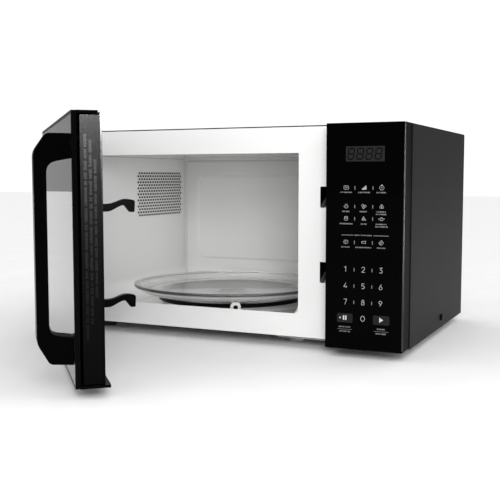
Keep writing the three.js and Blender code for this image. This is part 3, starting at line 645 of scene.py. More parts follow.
def latch_cheeks():
    """A sloping rib on each well's left wall, beside the hook's way in."""
    bm = bmesh.new()
    front, crest, back = SHEET + 0.3, 19.5, 29.7
    for level in LATCH_LEVELS:
        foot, toe, shoulder = level - 8.4, level - 7, level + 3.8
        cheek = [(front, foot), (back, foot), (back, shoulder), (crest, shoulder), (front, toe)]
        prism(bm, [cheek], POCKET_LEFT + 1.1, POCKET_LEFT + 2.8, from_side)
    add_piece("latch_cheeks", bm, "receiver", "cabinet", round_edges=0.3)


def perforation_centres():
    """Staggered rows of air holes high on the left wall, towards the back."""
    rows = 15
    pitch_z = 4.38
    pitch_y = 6.85
    first_y, top_z = 143.5, 204.0
    for row in range(rows):
        staggered = (row + 1) % 2
        for column in range(19 - staggered):
            yield first_y + pitch_y * (column + staggered / 2), top_z - pitch_z * row


def cavity_side(name, node, face, outward, holes):
    """A side wall that runs down into the floor through a quarter round."""
    bm = bmesh.new()
    seam = CAVITY_FLOOR + CAVITY_COVE
    top = CAVITY_CEILING - 0.3
    flat = rectangle(CAVITY_FRONT, seam, CAVITY_BACK - 1.2, top)
    half_long, half_tall, end_radius = 2.7, 1.55, 1.5
    vents = [rectangle(y - half_long, z - half_tall, y + half_long, z + half_tall, end_radius, 4)
             for y, z in holes]
    thin = 0.4
    behind = face + outward * thin
    prism(bm, [flat, *vents], min(face, behind), max(face, behind), from_side)
    centre = face - outward * CAVITY_COVE
    start = 0 if outward > 0 else 180
    end = -90 if outward > 0 else 270
    inside = arc(centre, seam, CAVITY_COVE, start, end, 16)
    outside = arc(centre, seam, CAVITY_COVE + SHEET, end, start, 16)
    prism(bm, [inside + outside], CAVITY_FRONT, CAVITY_BACK, from_front)
    add_piece(name, bm, "enamel", "cabinet", [node])


def painted_vent_shade():
    """A dark sheet just behind the air holes, painted shade for the dim space behind the wall, so that no
    light shows through them.
    """
    bm = bmesh.new()
    behind_wall = CAVITY_LEFT - 5.5
    prism(bm, [rectangle(136, 136, 275, 210, 3.0)], behind_wall - SHEET, behind_wall, from_side)
    add_piece("vent_baffle", bm, "matte", "cabinet", round_edges=0.3)


def cavity_back():
    """The back sheet with a large shallow panel pressed into it and rounded upright edges."""
    bm = bmesh.new()
    edges = [(-1.0, 0.05, 0.0), (3.2, 3.0, 0.0), (4.1, 3.0, -1.0), (5.4, 3.0, -1.6), (7.0, 3.0, -1.8)]
    loops = []
    for inset, corner, depth in edges:
        outline = rectangle(CAVITY_LEFT + inset, BACK_BOTTOM + max(0.0, inset), CAVITY_RIGHT - inset,
                            BACK_TOP - max(0.0, inset), corner)
        loops.append((outline, BACK_FACE + depth))
    panel = [(0.0, -1.8), (0.7, -1.65), (1.3, -1.2), (1.8, -0.5), (2.3, 0.3), (2.9, 0.9), (3.6, 1.2)]
    for inset, depth in panel:
        outline = rectangle(-175.5 + inset, 70 + inset, 78.5 - inset, 202 - inset, 11 - inset * 0.5)
        loops.append((outline, BACK_FACE + depth))
    dished_sheet(bm, loops, SHEET, from_front)
    add_piece("cavity_back", bm, "enamel", "cabinet", ["cavity_back_wall"])


def cavity_floor():
    """A flat sheet with a round pressing that the roller ring runs on and a hole for the drive."""
    bm = bmesh.new()
    table_x, table_y, _ = cabinet_mm(TABLE_AXIS)
    overlap = 0.3
    well = 119.0
    sheet = rectangle(FLOOR_LEFT - overlap, CAVITY_FRONT, FLOOR_RIGHT + overlap, CAVITY_BACK)
    prism(bm, [sheet, circle(table_x, table_y, well, 96)], CAVITY_FLOOR - SHEET, CAVITY_FLOOR, at)
    profile = [(well, 0.0), (117, -0.15), (115.5, -0.5), (99, -0.5), (97, -0.2), (95, 0.0), (34, 0.0),
               (31, -0.6), (28, -1.8), (12, -1.8), (8.5, -1.0), (8.0, -1.6), (8.0, -2.8), (28.5, -2.8),
               (32, -1.6), (35, -1.0), (95, -1.0), (99, -1.5), (116, -1.5), (well, -1.0)]
    lathe(bm, profile, at(table_x, table_y, CAVITY_FLOOR))
    add_piece("cavity_base", bm, "enamel", "cabinet", ["cavity_floor"])


def cavity_top():
    """The ceiling, with a low bead pressed round it."""
    bm = bmesh.new()
    rims = [(0.0, 0.05, 0.0), (9.0, 6.0, 0.0), (10.5, 7.0, 0.7), (13.0, 8.0, 1.6), (15.0, 8.0, 1.8)]
    loops = [(rectangle(CAVITY_LEFT - SHEET + inset, CAVITY_FRONT + inset, CAVITY_RIGHT + SHEET - inset,
                        CAVITY_BACK - inset, corner), CAVITY_CEILING + depth)
             for inset, corner, depth in rims]
    dished_sheet(bm, loops, SHEET, at)
    add_piece("cavity_roof", bm, "enamel", "cabinet", ["cavity_ceiling"])


def side_screws():
    """Pan heads with a cross recess, holding the cover to the base."""
    profile = [(0, -0.2), (4.2, -0.2), (4.2, 1.0), (3.9, 1.8), (3.0, 2.25), (1.4, 2.4), (0, 2.4)]
    cross_deep, cross_long, cross_wide, cross_level = 1.0, 3.8, 0.9, 1.9
    for side, name in ((-1, "left"), (1, "right")):
        low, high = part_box("side_screw_" + name)
        centre = (low + high) / 2
        seat = centre.x - side * (high.x - low.x) / 2
        bm = bmesh.new()
        lathe(bm, [(radius, side * height) for radius, height in profile],
              Vector((seat, centre.y, centre.z)), 32, "x")
        middle = Vector((seat + side * cross_level * MM - centre.x, 0, 0))
        bar = Matrix.Diagonal((cross_deep * MM, cross_long * MM, cross_wide * MM, 1))
        for turn in (0, 90):
            spin = Matrix.Translation(centre) @ Matrix.Rotation(math.radians(turn), 4, "X")
            box = bmesh.ops.create_cube(bm, size=1.0)["verts"]
            bmesh.ops.transform(bm, matrix=spin @ Matrix.Translation(middle) @ bar, verts=box)
        add_piece("cover_screw_" + name, bm, "screw", "cabinet", ["side_screw_" + name])


def build_cabinet():
    outer_cover()
    front_plate()
    cavity_side("cavity_left", "cavity_left_wall", CAVITY_LEFT, -1, list(perforation_centres()))
    painted_vent_shade()
    cavity_side("cavity_right", "cavity_right_wall", CAVITY_RIGHT, 1, [])
    cavity_back()
    cavity_floor()
    cavity_top()
    latch_pockets()
    latch_cheeks()
    side_screws()


# ------------------------------------------------------------------ turntable

TABLE_LUG_UNDER = 42.1


def turntable_glass():
    """Pressed glass: a flat middle, a raised rim with a rolled lip, and three lugs under the centre."""
    low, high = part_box("turntable_plate")
    radius = (high.x - low.x) / MM / 2
    under = TABLE_LUG_UNDER
    rim = high.z / MM
    profile = [(0, under + 0.4), (22, under + 0.4), (23, under), (radius - 19, under),
               (radius - 14, under + 1.2), (radius - 8, under + 4.2), (radius - 2.2, rim - 4.4),
               (radius - 0.6, rim - 4.0), (radius, rim - 3.3), (radius, rim - 0.9),
               (radius - 0.3, rim - 0.3), (radius - 0.9, rim), (radius - 4.6, rim),
               (radius - 5.2, rim - 0.3), (radius - 5.9, rim - 1.6), (radius - 7.5, rim - 2.9),
               (radius - 11.5, rim - 5.2), (radius - 15.5, under + 4.6), (radius - 19, under + 3.9),
               (40, under + 3.8), (0, under + 3.7)]
    bm = bmesh.new()
    lathe(bm, profile, TABLE_AXIS, 160)
    lug = rectangle(12, -2.5, 19, 2.5, 1.4, 4)
    for degrees in (60, 180, 300):
        prism(bm, [lug], under - 5, under + 0.45, about_axis, turned(TABLE_AXIS, degrees))
    tray = add_piece("glass_tray", bm, "plate_glass", "turntable", ["turntable_plate"])
    tray.visible_shadow = False


def drive_coupler():
    """The hub on the motor's shaft, with three lobes that push the lugs under the glass."""
    low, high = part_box("turntable_coupler")
    top, base = high.z / MM, low.z / MM
    bm = bmesh.new()
    profile = [(0, top - 4), (3.3, top - 4), (3.3, base), (6.5, base), (7.4, base + 0.6), (9, base + 3.5),
               (9, top - 0.8), (8.2, top), (0, top)]
    lathe(bm, profile, TABLE_AXIS, 48)
    lobe = rectangle(6, -3.5, 20, 3.5, 1.6, 5)
    for degrees in (0, 120, 240):
        prism(bm, [lobe], base + 5.5, top, about_axis, turned(TABLE_AXIS, degrees))
    add_piece("drive_hub", bm, "matte", "turntable_drive", ["turntable_coupler"],
              round_edges=0.35)


ROLLER_ANGLES = (-62, 58, 178)
ROLLER_CIRCLE = Vector((0.107, 0, 0))
AXLE_START = Vector((0.1, 0, 0))
BOSS_START = Vector((0.1004, 0, 0))
AXLE_CENTRE = TABLE_AXIS + Vector((0, 0, 0.035))


def roller_ring():
    """The ring under the glass, with an axle, a boss and an end cap for each roller."""
    bm = bmesh.new()
    ring = [(95, -1.8), (95.5, -2.3), (100.5, -2.3), (101, -1.8), (101, 2.5), (100.5, 3), (95.5, 3),
            (95, 2.5)]
    axle = [(0, -0.5), (1.7, -0.5), (1.7, 10.6), (1.2, 11.4), (0, 11.4)]
    boss = [(0, -0.4), (3.4, -0.4), (3.4, 1.8), (2.9, 2.2), (0, 2.2)]
    cap = [(0, 3.4), (2.7, 3.4), (2.9, 3.6), (2.9, 4.2), (2.5, 4.6), (0, 4.6)]
    lathe(bm, ring, AXLE_CENTRE, 160)
    for degrees in ROLLER_ANGLES:
        turn = turned(AXLE_CENTRE, degrees)
        lathe(bm, axle, AXLE_START, 24, "x", turn)
        lathe(bm, boss, BOSS_START, 24, "x", turn)
        lathe(bm, cap, ROLLER_CIRCLE, 24, "x", turn)
    add_piece("support_ring", bm, "matte", "roller_ring", ["roller_ring"])


def rollers():
    """Three white wheels with recessed faces."""
    profile = [(2, -3.25), (3.4, -3.25), (3.8, -2.6), (5.2, -2.6), (5.6, -3.25), (6.2, -3.15), (6.8, -2.45),
               (6.8, 2.45), (6.2, 3.15), (5.6, 3.25), (5.2, 2.6), (3.8, 2.6), (3.4, 3.25), (2, 3.25)]
    for number, degrees in enumerate(ROLLER_ANGLES, 1):
        name = f"roller_{number}"
        bm = bmesh.new()
        lathe(bm, profile, ROLLER_CIRCLE, 48, "x", turned(AXLE_CENTRE, degrees))
        add_piece(f"wheel_{number}", bm, "white_plastic", name, [name])


def build_turntable():
    turntable_glass()
    drive_coupler()
    roller_ring()
    rollers()


# ------------------------------------------------------------------ door, drawn shut and turned open

(DOOR_LEFT, FRONT_FACE, DOOR_BOTTOM), (DOOR_RIGHT, _, DOOR_TOP) = closed_box_mm("door_outer_frame")
(GLASS_LEFT, _, GLASS_BOTTOM), (GLASS_RIGHT, _, GLASS_TOP) = closed_box_mm("door_glass")
(CHOKE_LEFT, _, CHOKE_BOTTOM), (CHOKE_RIGHT, _, CHOKE_TOP) = closed_box_mm("door_choke_cover")
(LATCH_LEFT, _, _), (LATCH_RIGHT, _, _) = closed_box_mm("door_latch")
HINGE_X, HINGE_Y, _ = cabinet_mm(DOOR_HINGE)
GLASS_EDGES = (GLASS_LEFT, GLASS_BOTTOM, GLASS_RIGHT, GLASS_TOP)
FRAME_BACK = FRONT_FACE + 4.7
WALL = 2.6
FREE_EDGE = CHOKE_RIGHT - 1.0
WINDOW = (-188.6, 42.5, 104.6, 223.0)


def softened(points, radii, steps=5):
    """The same polygon with its corners rounded; radii is one number or one for each corner."""
    if isinstance(radii, (int, float)):
        radii = [radii] * len(points)
    result = []
    for index, (point, radius) in enumerate(zip(points, radii)):
        here = Vector(point)
        before = Vector(points[index - 1]) - here
        after = Vector(points[(index + 1) % len(points)]) - here
        reach = min(radius, before.length / 2.05, after.length / 2.05)
        if reach <= 0:
            result.append(tuple(here))
            continue
        start = here + before.normalized() * reach
        end = here + after.normalized() * reach
        for step in range(steps + 1):
            share = step / steps
            curve = start * (1 - share) ** 2 + here * 2 * share * (1 - share) + end * share ** 2
            result.append(tuple(curve))
    return result


def door_frame():
    """The rim round the glass with a top wall, a bottom ledge, a hinge side and the two hinge bosses."""
    bm = bmesh.new()
    outer = rectangle(DOOR_LEFT, DOOR_BOTTOM, DOOR_RIGHT, DOOR_TOP, 2.0)
    seat = grown(GLASS_EDGES, 0.3, 1.0)
    prism(bm, [outer, seat], FRONT_FACE, FRAME_BACK, from_front, OPEN_DOOR)
    behind = rectangle(DOOR_LEFT + 2.5, DOOR_BOTTOM + 2.5, DOOR_RIGHT - 2.5, DOOR_TOP - 2.5, 1.0)
    mouth = rectangle(DOOR_LEFT + 34, DOOR_BOTTOM + 30, DOOR_RIGHT - 44, DOOR_TOP - 30, 6.0)
    prism(bm, [behind, mouth], FRONT_FACE + 3.3, FRAME_BACK, from_front, OPEN_DOOR)
    start = FRAME_BACK - 0.6
    roof = [(DOOR_LEFT + 2, start), (DOOR_RIGHT, start), (DOOR_RIGHT, -4), (DOOR_LEFT + 6, -4),
            (DOOR_LEFT + 2, -7)]
    prism(bm, [softened(roof, [0, 0, 1.5, 1, 1])], DOOR_TOP - WALL, DOOR_TOP, at, OPEN_DOOR)
    ledge = [(DOOR_LEFT + 2, start), (DOOR_RIGHT, start), (DOOR_RIGHT, 4.3), (HINGE_X + 2, 4.3),
             (HINGE_X + 2, -5), (DOOR_LEFT + 2, -7)]
    prism(bm, [softened(ledge, [0, 0, 1.5, 2, 1, 1])], DOOR_BOTTOM, DOOR_BOTTOM + WALL, at, OPEN_DOOR)
    block(bm, (DOOR_LEFT + 0.02, start, DOOR_BOTTOM + 16), (DOOR_LEFT + WALL, -6, DOOR_TOP - 16), OPEN_DOOR)
    for low, high in ((238.0, 247.7), (20.3, 26.0)):
        boss = rectangle(HINGE_X - 5.5, start, HINGE_X + 5.5, HINGE_Y + 5.5, [0, 0, 3, 3])
        prism(bm, [boss, circle(HINGE_X, HINGE_Y, 2.6, 20)], low, high, at, OPEN_DOOR)
    add_piece("door_frame", bm, "satin", "door", ["door_outer_frame"], round_edges=0.45)


def door_pane():
    """The tinted front glass, with the black border printed on its back."""
    bm = bmesh.new()
    thick = 3
    prism(bm, [rectangle(*GLASS_EDGES, 1.2)], FRONT_FACE, FRONT_FACE + thick, from_front, OPEN_DOOR)
    add_piece("front_pane", bm, "door_glass", "door", ["door_glass"], round_edges=0.5)
    bm = bmesh.new()
    border = grown(GLASS_EDGES, -0.6, 1.0)
    clear = rectangle(GLASS_LEFT + 48, GLASS_BOTTOM + 26, GLASS_RIGHT - 54, GLASS_TOP - 26, 5.0)
    prism(bm, [border, clear], FRONT_FACE + thick + 0.05, FRONT_FACE + thick + 0.2, from_front, OPEN_DOOR)
    add_piece("pane_print", bm, "print", "door")


def door_mesh_screen():
    """Perforated steel that keeps the microwaves in, with a plain folded border."""
    (left, front, bottom), (right, back, top) = closed_box_mm("door_screen")
    edges = (left, bottom, right, top)
    bm = bmesh.new()
    prism(bm, [rectangle(*edges, 3.0), grown(edges, -14, 4.0)], front, back, from_front, OPEN_DOOR)
    add_piece("screen_border", bm, "satin", "door", ["door_screen"], round_edges=0.3)
    bm = bmesh.new()
    prism(bm, [grown(edges, -13, 4.0)], front + 0.9, front + 1.1, from_front, OPEN_DOOR)
    add_piece("screen_holes", bm, "screen", "door")


def notched(left, bottom, right, top, across, up):
    """A rectangle with its two hinge-side corners cut away to clear the hinge brackets."""
    return [(left + across, bottom), (right, bottom), (right, top), (left + across, top),
            (left + across, top - up), (left, top - up), (left, bottom + up), (left + across, bottom + up)]


def hook_slots():
    return [rectangle(LATCH_LEFT - 1, level - 5, LATCH_RIGHT + 1, level + 15, 0.8, 3)
            for level in LATCH_LEVELS]


def door_choke():
    """The moulded cover behind the glass: a deep side wall, and a rear face with a lip round it."""
    bm = bmesh.new()
    front, lip_front, lip_back = -20.0, -2.4, -0.6
    lip_height = 3
    thick = 2
    face = softened(notched(CHOKE_LEFT, CHOKE_BOTTOM, CHOKE_RIGHT, CHOKE_TOP, 9.0, 9.5), 0.8, 3)
    prism(bm, [face, grown(WINDOW, -5, 6.0), *hook_slots()], lip_front, lip_back, from_front, OPEN_DOOR)
    left, bottom, top = CHOKE_LEFT + 0.2, CHOKE_BOTTOM + 0.2, CHOKE_TOP - lip_height
    outer = notched(left, bottom, FREE_EDGE, top, 16.0, 14.5)
    inner = notched(left + thick, bottom + thick, FREE_EDGE - thick, top - thick, 16.0, 14.5)
    prism(bm, [outer, inner], front, lip_front + 0.3, from_front, OPEN_DOOR)
    window = rectangle(*WINDOW, 8.0)
    prism(bm, [grown(WINDOW, 2, 9.0), window], front, lip_front + 0.2, from_front, OPEN_DOOR)
    step = rectangle(-181.0, 50.1, 97.0, 215.4, 6.0)
    prism(bm, [window, step], -6.0, lip_front + 0.1, from_front, OPEN_DOOR)
    add_piece("choke_cover", bm, "moulding", "door", ["door_choke_cover"], round_edges=0.5)


def edge_dashes():
    """Three lines of small raised dashes down the door's free edge, in place of moulded wording."""
    bm = bmesh.new()
    chance = random.Random(7)
    sunk, proud = 0.2, 0.3
    for line, (top, bottom) in ((-15.6, (236, 62)), (-11.2, (231, 70)), (-7.0, (214, 92))):
        level = top
        while level > bottom:
            for _ in range(chance.randint(2, 9)):
                tall = chance.choice((0.9, 1.2, 1.2, 1.5))
                wide = chance.choice((2.0, 2.6, 2.6))
                block(bm, (FREE_EDGE - sunk, line - wide / 2, level - tall),
                      (FREE_EDGE + proud, line + wide / 2, level), OPEN_DOOR)
                level -= tall + 0.55
            level -= 1.7
    add_piece("edge_dashes", bm, "raised", "door")


def inner_window():
    """The clear film that seals the door's inner face."""
    (left, front, bottom), (right, back, top) = closed_box_mm("door_inner_film")
    bm = bmesh.new()
    prism(bm, [rectangle(left, bottom, right, top, 4.0)], front, back, from_front, OPEN_DOOR)
    add_piece("inner_window", bm, "film", "door", ["door_inner_film"], round_edges=0.2)


def door_handle():
    """A full-height grip on two posts, its outer ends cut off at an angle."""
    (left, reach, bottom), (right, face, top) = closed_box_mm("door_handle")
    grip = face - 21.0
    outline = [(face, top), (grip, top), (reach, top - 16), (reach, bottom + 20.6), (grip, bottom + 1.6),
               (face, bottom), (face, bottom + 25), (grip, bottom + 28), (grip, top - 26), (face, top - 22)]
    radii = [0, 3, 5, 5, 3, 0, 0.5, 9, 9, 0.5]
    bm = bmesh.new()
    prism(bm, [softened(outline, radii, 7)], left, right, from_side, OPEN_DOOR)
    add_piece("grip", bm, "handle", "door", ["door_handle"], round_edges=1.3, segments=3)


def latch_hooks():
    """Two hooks on one upright bar: a rising arm, and a square head with its tooth pointing down."""
    bm = bmesh.new()
    bar_low, bar_high = LATCH_LEVELS[1] - 19.3, LATCH_LEVELS[0] + 24.7
    block(bm, (LATCH_LEFT, -14, bar_low), (LATCH_RIGHT, -8, bar_high), OPEN_DOOR)
    root = -9
    for level in LATCH_LEVELS:
        outline = [(root, level - 3.4), (5.5, level - 3.4), (14.5, level + 1.4), (18.5, level + 2.6),
                   (23.5, level - 4), (27.9, level - 4), (28.4, level + 6.4), (24, level + 7.6),
                   (18, level + 8), (7, level + 3.6), (root, level + 3.4)]
        radii = [0, 3, 3, 1.5, 0.8, 1.2, 1.6, 3, 4, 4, 0]
        prism(bm, [softened(outline, radii, 4)], LATCH_LEFT, LATCH_RIGHT, from_side, OPEN_DOOR)
    add_piece("latch_hooks", bm, "handle", "latch", ["door_latch"], round_edges=0.7)


def latch_coil():
    """The wire spring over the hooks' bar. Its top stays in the door."""
    low, high = closed_box("latch_spring")
    wire = 0.5 * MM
    turns, steps, sides = 7, 24, 8
    radius = (high.x - low.x) / 2 - wire
    middle = (low + high) / 2
    bm = bmesh.new()
    rings = []
    for step in range(turns * steps + 1):
        share = step / (turns * steps)
        angle = 2 * math.pi * turns * share
        level = low.z + wire + share * (high.z - low.z - 2 * wire)
        outward = Vector((math.cos(angle), math.sin(angle), 0))
        centre = Vector((middle.x, middle.y, level)) + outward * radius
        section = [centre + outward * du + Vector((0, 0, dv)) for du, dv in circle(0, 0, wire, sides)]
        rings.append([bm.verts.new(OPEN_DOOR @ point) for point in section])
    for first, second in zip(rings, rings[1:]):
        for side in range(sides):
            following = (side + 1) % sides
            bm.faces.new((first[side], first[following], second[following], second[side]))
    bm.faces.new(rings[0])
    bm.faces.new(rings[-1])
    piece = add_piece("latch_coil", bm, "spring", "door", ["latch_spring"])
    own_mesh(piece)


def build_door():
    door_frame()
    door_pane()
    door_mesh_screen()
    door_choke()
    edge_dashes()
    inner_window()
    door_handle()
    latch_hooks()
    latch_coil()
    for name in ("choke_cover", "edge_dashes", "latch_hooks"):
        DOOR_LIT.objects.link(bpy.data.objects[name])


# ------------------------------------------------------------------ control panel

(PANEL_LEFT, PANEL_FACE, PANEL_BOTTOM), (PANEL_RIGHT, _, PANEL_TOP) = box_mm("panel_fascia")
PANEL_WIDTH, PANEL_HEIGHT = PANEL_RIGHT - PANEL_LEFT, PANEL_TOP - PANEL_BOTTOM
(LENS_LEFT, _, LENS_BOTTOM), (LENS_RIGHT, _, LENS_TOP) = box_mm("display_window")
DISPLAY = (LENS_LEFT - PANEL_LEFT, LENS_BOTTOM - PANEL_BOTTOM,
           LENS_RIGHT - PANEL_LEFT, LENS_TOP - PANEL_BOTTOM)
COLUMNS = (23.2, 43.3, 63.0)
SEPARATORS = (33.0, 53.2)
ICON_ROWS = (177.6, 157.5, 144.2, 118.5)
LABEL_ROWS = (172.4, 151.7, 138.3, 112.8)
DIGIT_ROWS = ((88.6, "123"), (70.6, "456"), (52.7, "789"))
SUNK = -0.02
INK = 0.06
FINE = 0.25


def on_panel(u, v, depth):
    """For marks on the fascia: from its left and bottom edges, with depth counted outwards."""
    return at(PANEL_LEFT + u, PANEL_FACE - depth, PANEL_BOTTOM + v)


def stroke(bm, points, width, closed=False):
    """A line of even width along the points, drawn as a thin raised strip."""
    count = len(points)
    left, right = [], []
    for index, point in enumerate(points):
        here = Vector(point)
        before = Vector(points[index - 1]) if closed or index > 0 else None
        after = Vector(points[(index + 1) % count]) if closed or index < count - 1 else None
        incoming = (here - before).normalized() if before is not None else (after - here).normalized()
        outgoing = (after - here).normalized() if after is not None else incoming
        normal = Vector((-incoming.y - outgoing.y, incoming.x + outgoing.x)).normalized()
        stretch = max(0.5, normal.dot(Vector((-outgoing.y, outgoing.x))))
        offset = normal * (width / 2 / stretch)
        left.append(tuple(here + offset))
        right.append(tuple(here - offset))
    if closed:
        prism(bm, [right, left], SUNK, INK, on_panel)
    else:
        prism(bm, [right + left[::-1]], SUNK, INK, on_panel)


def patch(bm, points, low=SUNK, high=INK):
    prism(bm, [points], low, high, on_panel)


GLYPHS = {
    "0": [(arc(0, 0, 1, 0, 330, 11), True)],
    "1": [([(-0.45, 0.62), (0.1, 1.0), (0.1, -1.0)], False)],
    "2": [(arc(0, 0.42, 0.58, 165, -35, 8) + [(-0.6, -0.95), (0.65, -0.95)], False)],
    "3": [([(-0.5, 0.95), (0.5, 0.95), (-0.08, 0.2)] + arc(0, -0.4, 0.56, 80, -150, 8), False)],
    "4": [([(0.62, -0.5), (-0.62, -0.5), (0.2, 1.0)], False), ([(0.3, 0.05), (0.3, -1.0)], False)],
    "5": [([(0.5, 0.95), (-0.4, 0.95), (-0.48, 0.12)] + arc(-0.02, -0.38, 0.58, 125, -145, 8), False)],
    "6": [(arc(0, -0.38, 0.58, 0, 330, 11), True), ([(0.3, 1.0), (-0.5, -0.1)], False)],
    "7": [([(-0.6, 0.95), (0.6, 0.95), (-0.15, -1.0)], False)],
    "8": [(arc(0, 0.47, 0.46, 0, 330, 11), True), (arc(0, -0.43, 0.56, 0, 330, 11), True)],
    "9": [(arc(0, 0.38, 0.58, 0, 330, 11), True), ([(0.5, 0.1), (-0.3, -1.0)], False)],
}


def draw_digit(bm, digit, u, v, tall=5.8, width=0.38):
    narrow = 0.78 if digit == "0" else 1.0
    for points, closed in GLYPHS[digit]:
        stroke(bm, [(u + x * narrow * tall / 2, v + y * tall / 2) for x, y in points], width, closed=closed)


def draw_defrost(bm, u, v):
    stroke(bm, rectangle(u - 2.6, v - 1.9, u + 2.6, v + 1.9, 0.6, 3), FINE, closed=True)
    stroke(bm, [(u - 1.5, v + 0.9), (u, v - 0.5), (u + 1.5, v + 0.9)], FINE)


def draw_power(bm, u, v):
    for step in range(4):
        left = u - 2.3 + step * 1.3
        patch(bm, rectangle(left, v - 2.1, left + 0.8, v - 1.0 + step * 1.05))


def draw_clock(bm, u, v):
    stroke(bm, circle(u, v, 2.4, 20), FINE, closed=True)
    stroke(bm, [(u, v + 1.4), (u, v - 0.1), (u + 1.0, v - 0.1)], FINE)
    patch(bm, rectangle(u - 0.9, v + 2.7, u + 0.9, v + 3.1))


def draw_bowl(bm, u, v):
    stroke(bm, arc(u, v + 0.2, 2.3, 180, 360, 12) + [(u - 2.3, v + 0.2)], FINE)
    for side in (-1, 0.6):
        stroke(bm, [(u + side, v + 0.9), (u + side + 0.5, v + 1.6), (u + side, v + 2.4)], FINE)


def draw_rounds(bm, u, v):
    for du, dv, radius in ((-1.3, 1.1, 1.2), (1.5, 0.2, 1.1), (-0.6, -1.6, 1.0)):
        stroke(bm, circle(u + du, v + dv, radius, 14), FINE, closed=True)


def draw_flame_pot(bm, u, v):
    stroke(bm, rectangle(u - 2.0, v - 1.9, u + 2.0, v + 0.5, 0.7, 3), FINE, closed=True)
    stroke(bm, [(u - 1.2, v + 1.1), (u, v + 2.4), (u + 1.2, v + 1.1)], FINE)
    patch(bm, circle(u, v - 0.7, 0.6, 10))


def draw_jar(bm, u, v):
    stroke(bm, rectangle(u - 1.8, v - 2.2, u + 1.8, v + 1.2, 0.9, 3), FINE, closed=True)
    stroke(bm, [(u - 2.1, v + 2.0), (u + 2.1, v + 2.0)], FINE)
    stroke(bm, [(u - 1.6, v - 0.4), (u + 1.6, v - 0.4)], FINE)


def draw_slice(bm, u, v):
    stroke(bm, [(u - 2.2, v - 1.6), (u + 2.4, v - 1.9), (u - 0.4, v + 2.2)], FINE, closed=True)
    for du, dv in ((-0.6, -0.6), (0.7, -0.9), (-0.3, 0.7)):
        patch(bm, circle(u + du, v + dv, 0.38, 8))


def draw_small_pot(bm, u, v):
    stroke(bm, rectangle(u - 1.6, v - 1.5, u + 1.6, v + 0.8, 0.5, 3), FINE, closed=True)
    stroke(bm, [(u - 0.9, v + 1.5), (u + 0.9, v + 1.5)], FINE)
    for side in (-1, 1):
        tip = u + side * 3.5
        patch(bm, [(tip, v), (tip - side * 0.9, v + 0.6), (tip - side * 0.9, v - 0.6)][::side])


def draw_steak(bm, u, v):
    turns = [step * math.pi / 9 for step in range(18)]
    stroke(bm, [(u + 2.4 * math.cos(turn) * (1 + 0.12 * math.sin(2 * turn)), v + 2.0 * math.sin(turn))
                for turn in turns], FINE, closed=True)
    stroke(bm, arc(u, v, 1.1, 30, 250, 8), FINE)


def draw_fish(bm, u, v):
    outline = [(-2.6, 0), (-1.2, 1.3), (0.6, 0.9), (2.6, 1.3), (2.0, 0), (2.6, -1.3), (0.6, -0.9),
               (-1.2, -1.3)]
    stroke(bm, [(u + du, v + dv) for du, dv in outline], FINE, closed=True)
    patch(bm, circle(u - 1.3, v + 0.2, 0.3, 8))


def draw_lattice(bm, u, v):
    stroke(bm, [(u, v - 2.6), (u + 2.6, v), (u, v + 2.6), (u - 2.6, v)], FINE, closed=True)
    for offset in (-0.9, 0, 0.9):
        stroke(bm, [(u - 1.2 + offset, v - 1.2 + offset), (u + 1.0 + offset * 0.4, v + 1.1 + offset)], FINE)


ICONS = (
    (draw_defrost, draw_power, draw_clock),
    (draw_bowl, draw_rounds, draw_flame_pot),
    (draw_jar, draw_slice, draw_small_pot),
    (draw_steak, draw_fish, draw_lattice),
)


def draw_dashes(bm, chance, middle, v, width, tall=1.35):
    """A row of short upright dashes, standing where the real panel has a caption."""
    end = middle + width / 2
    u = middle - width / 2
    while u < end - 0.5:
        wide = chance.choice((0.6, 0.8, 0.9))
        foot = chance.choice((0.0, 0.0, 0.3))
        patch(bm, rectangle(u, v - tall / 2 + foot, u + wide, v + tall / 2))
        u += wide + chance.choice((0.3, 0.3, 0.35, 0.9))


def panel_housing():
    """The moulded box behind the plate, open at the back."""
    (_, front, _), (_, back, _) = box_mm("control_panel_housing")
    edges = (PANEL_LEFT, PANEL_BOTTOM, PANEL_RIGHT, PANEL_TOP)
    opening = grown((LENS_LEFT, LENS_BOTTOM, LENS_RIGHT, LENS_TOP), 0.3, 0.5)
    bm = bmesh.new()
    prism(bm, [rectangle(*edges, 1.2), grown(edges, -2, 0.6)], front, back, from_front)
    prism(bm, [grown(edges, -1.6, 0.6), opening], front + 0.02, front + 2, from_front)
    add_piece("panel_case", bm, "case", "cabinet", ["control_panel_housing"],
              round_edges=0.5)


def panel_front():
    """A glossy plate with a hole for the display and softly rounded edges."""
    outline = rectangle(0, 0, PANEL_WIDTH, PANEL_HEIGHT, [0.6, 1.8, 1.8, 0.6])
    bm = bmesh.new()
    prism(bm, [outline, grown(DISPLAY, 0.3, 0.5)], -2.0, 0.0, on_panel)
    add_piece("panel_front", bm, "fascia", "cabinet", ["panel_fascia"],
              round_edges=0.9, segments=4)


def panel_edge():
    """The polished bead down the plate's outer edge."""
    section = [(-1.2, 0.0), (-0.47, 0.03), (0.03, -0.47), (0.03, -1.1), (-0.3, -1.1), (-1.2, -0.4)]
    bead = [(PANEL_WIDTH + u, depth) for u, depth in section]
    short = 2.2
    bm = bmesh.new()
    prism(bm, [bead], short, PANEL_HEIGHT - short, lambda u, depth, v: on_panel(u, v, depth))
    add_piece("panel_edge", bm, "edge", "cabinet")


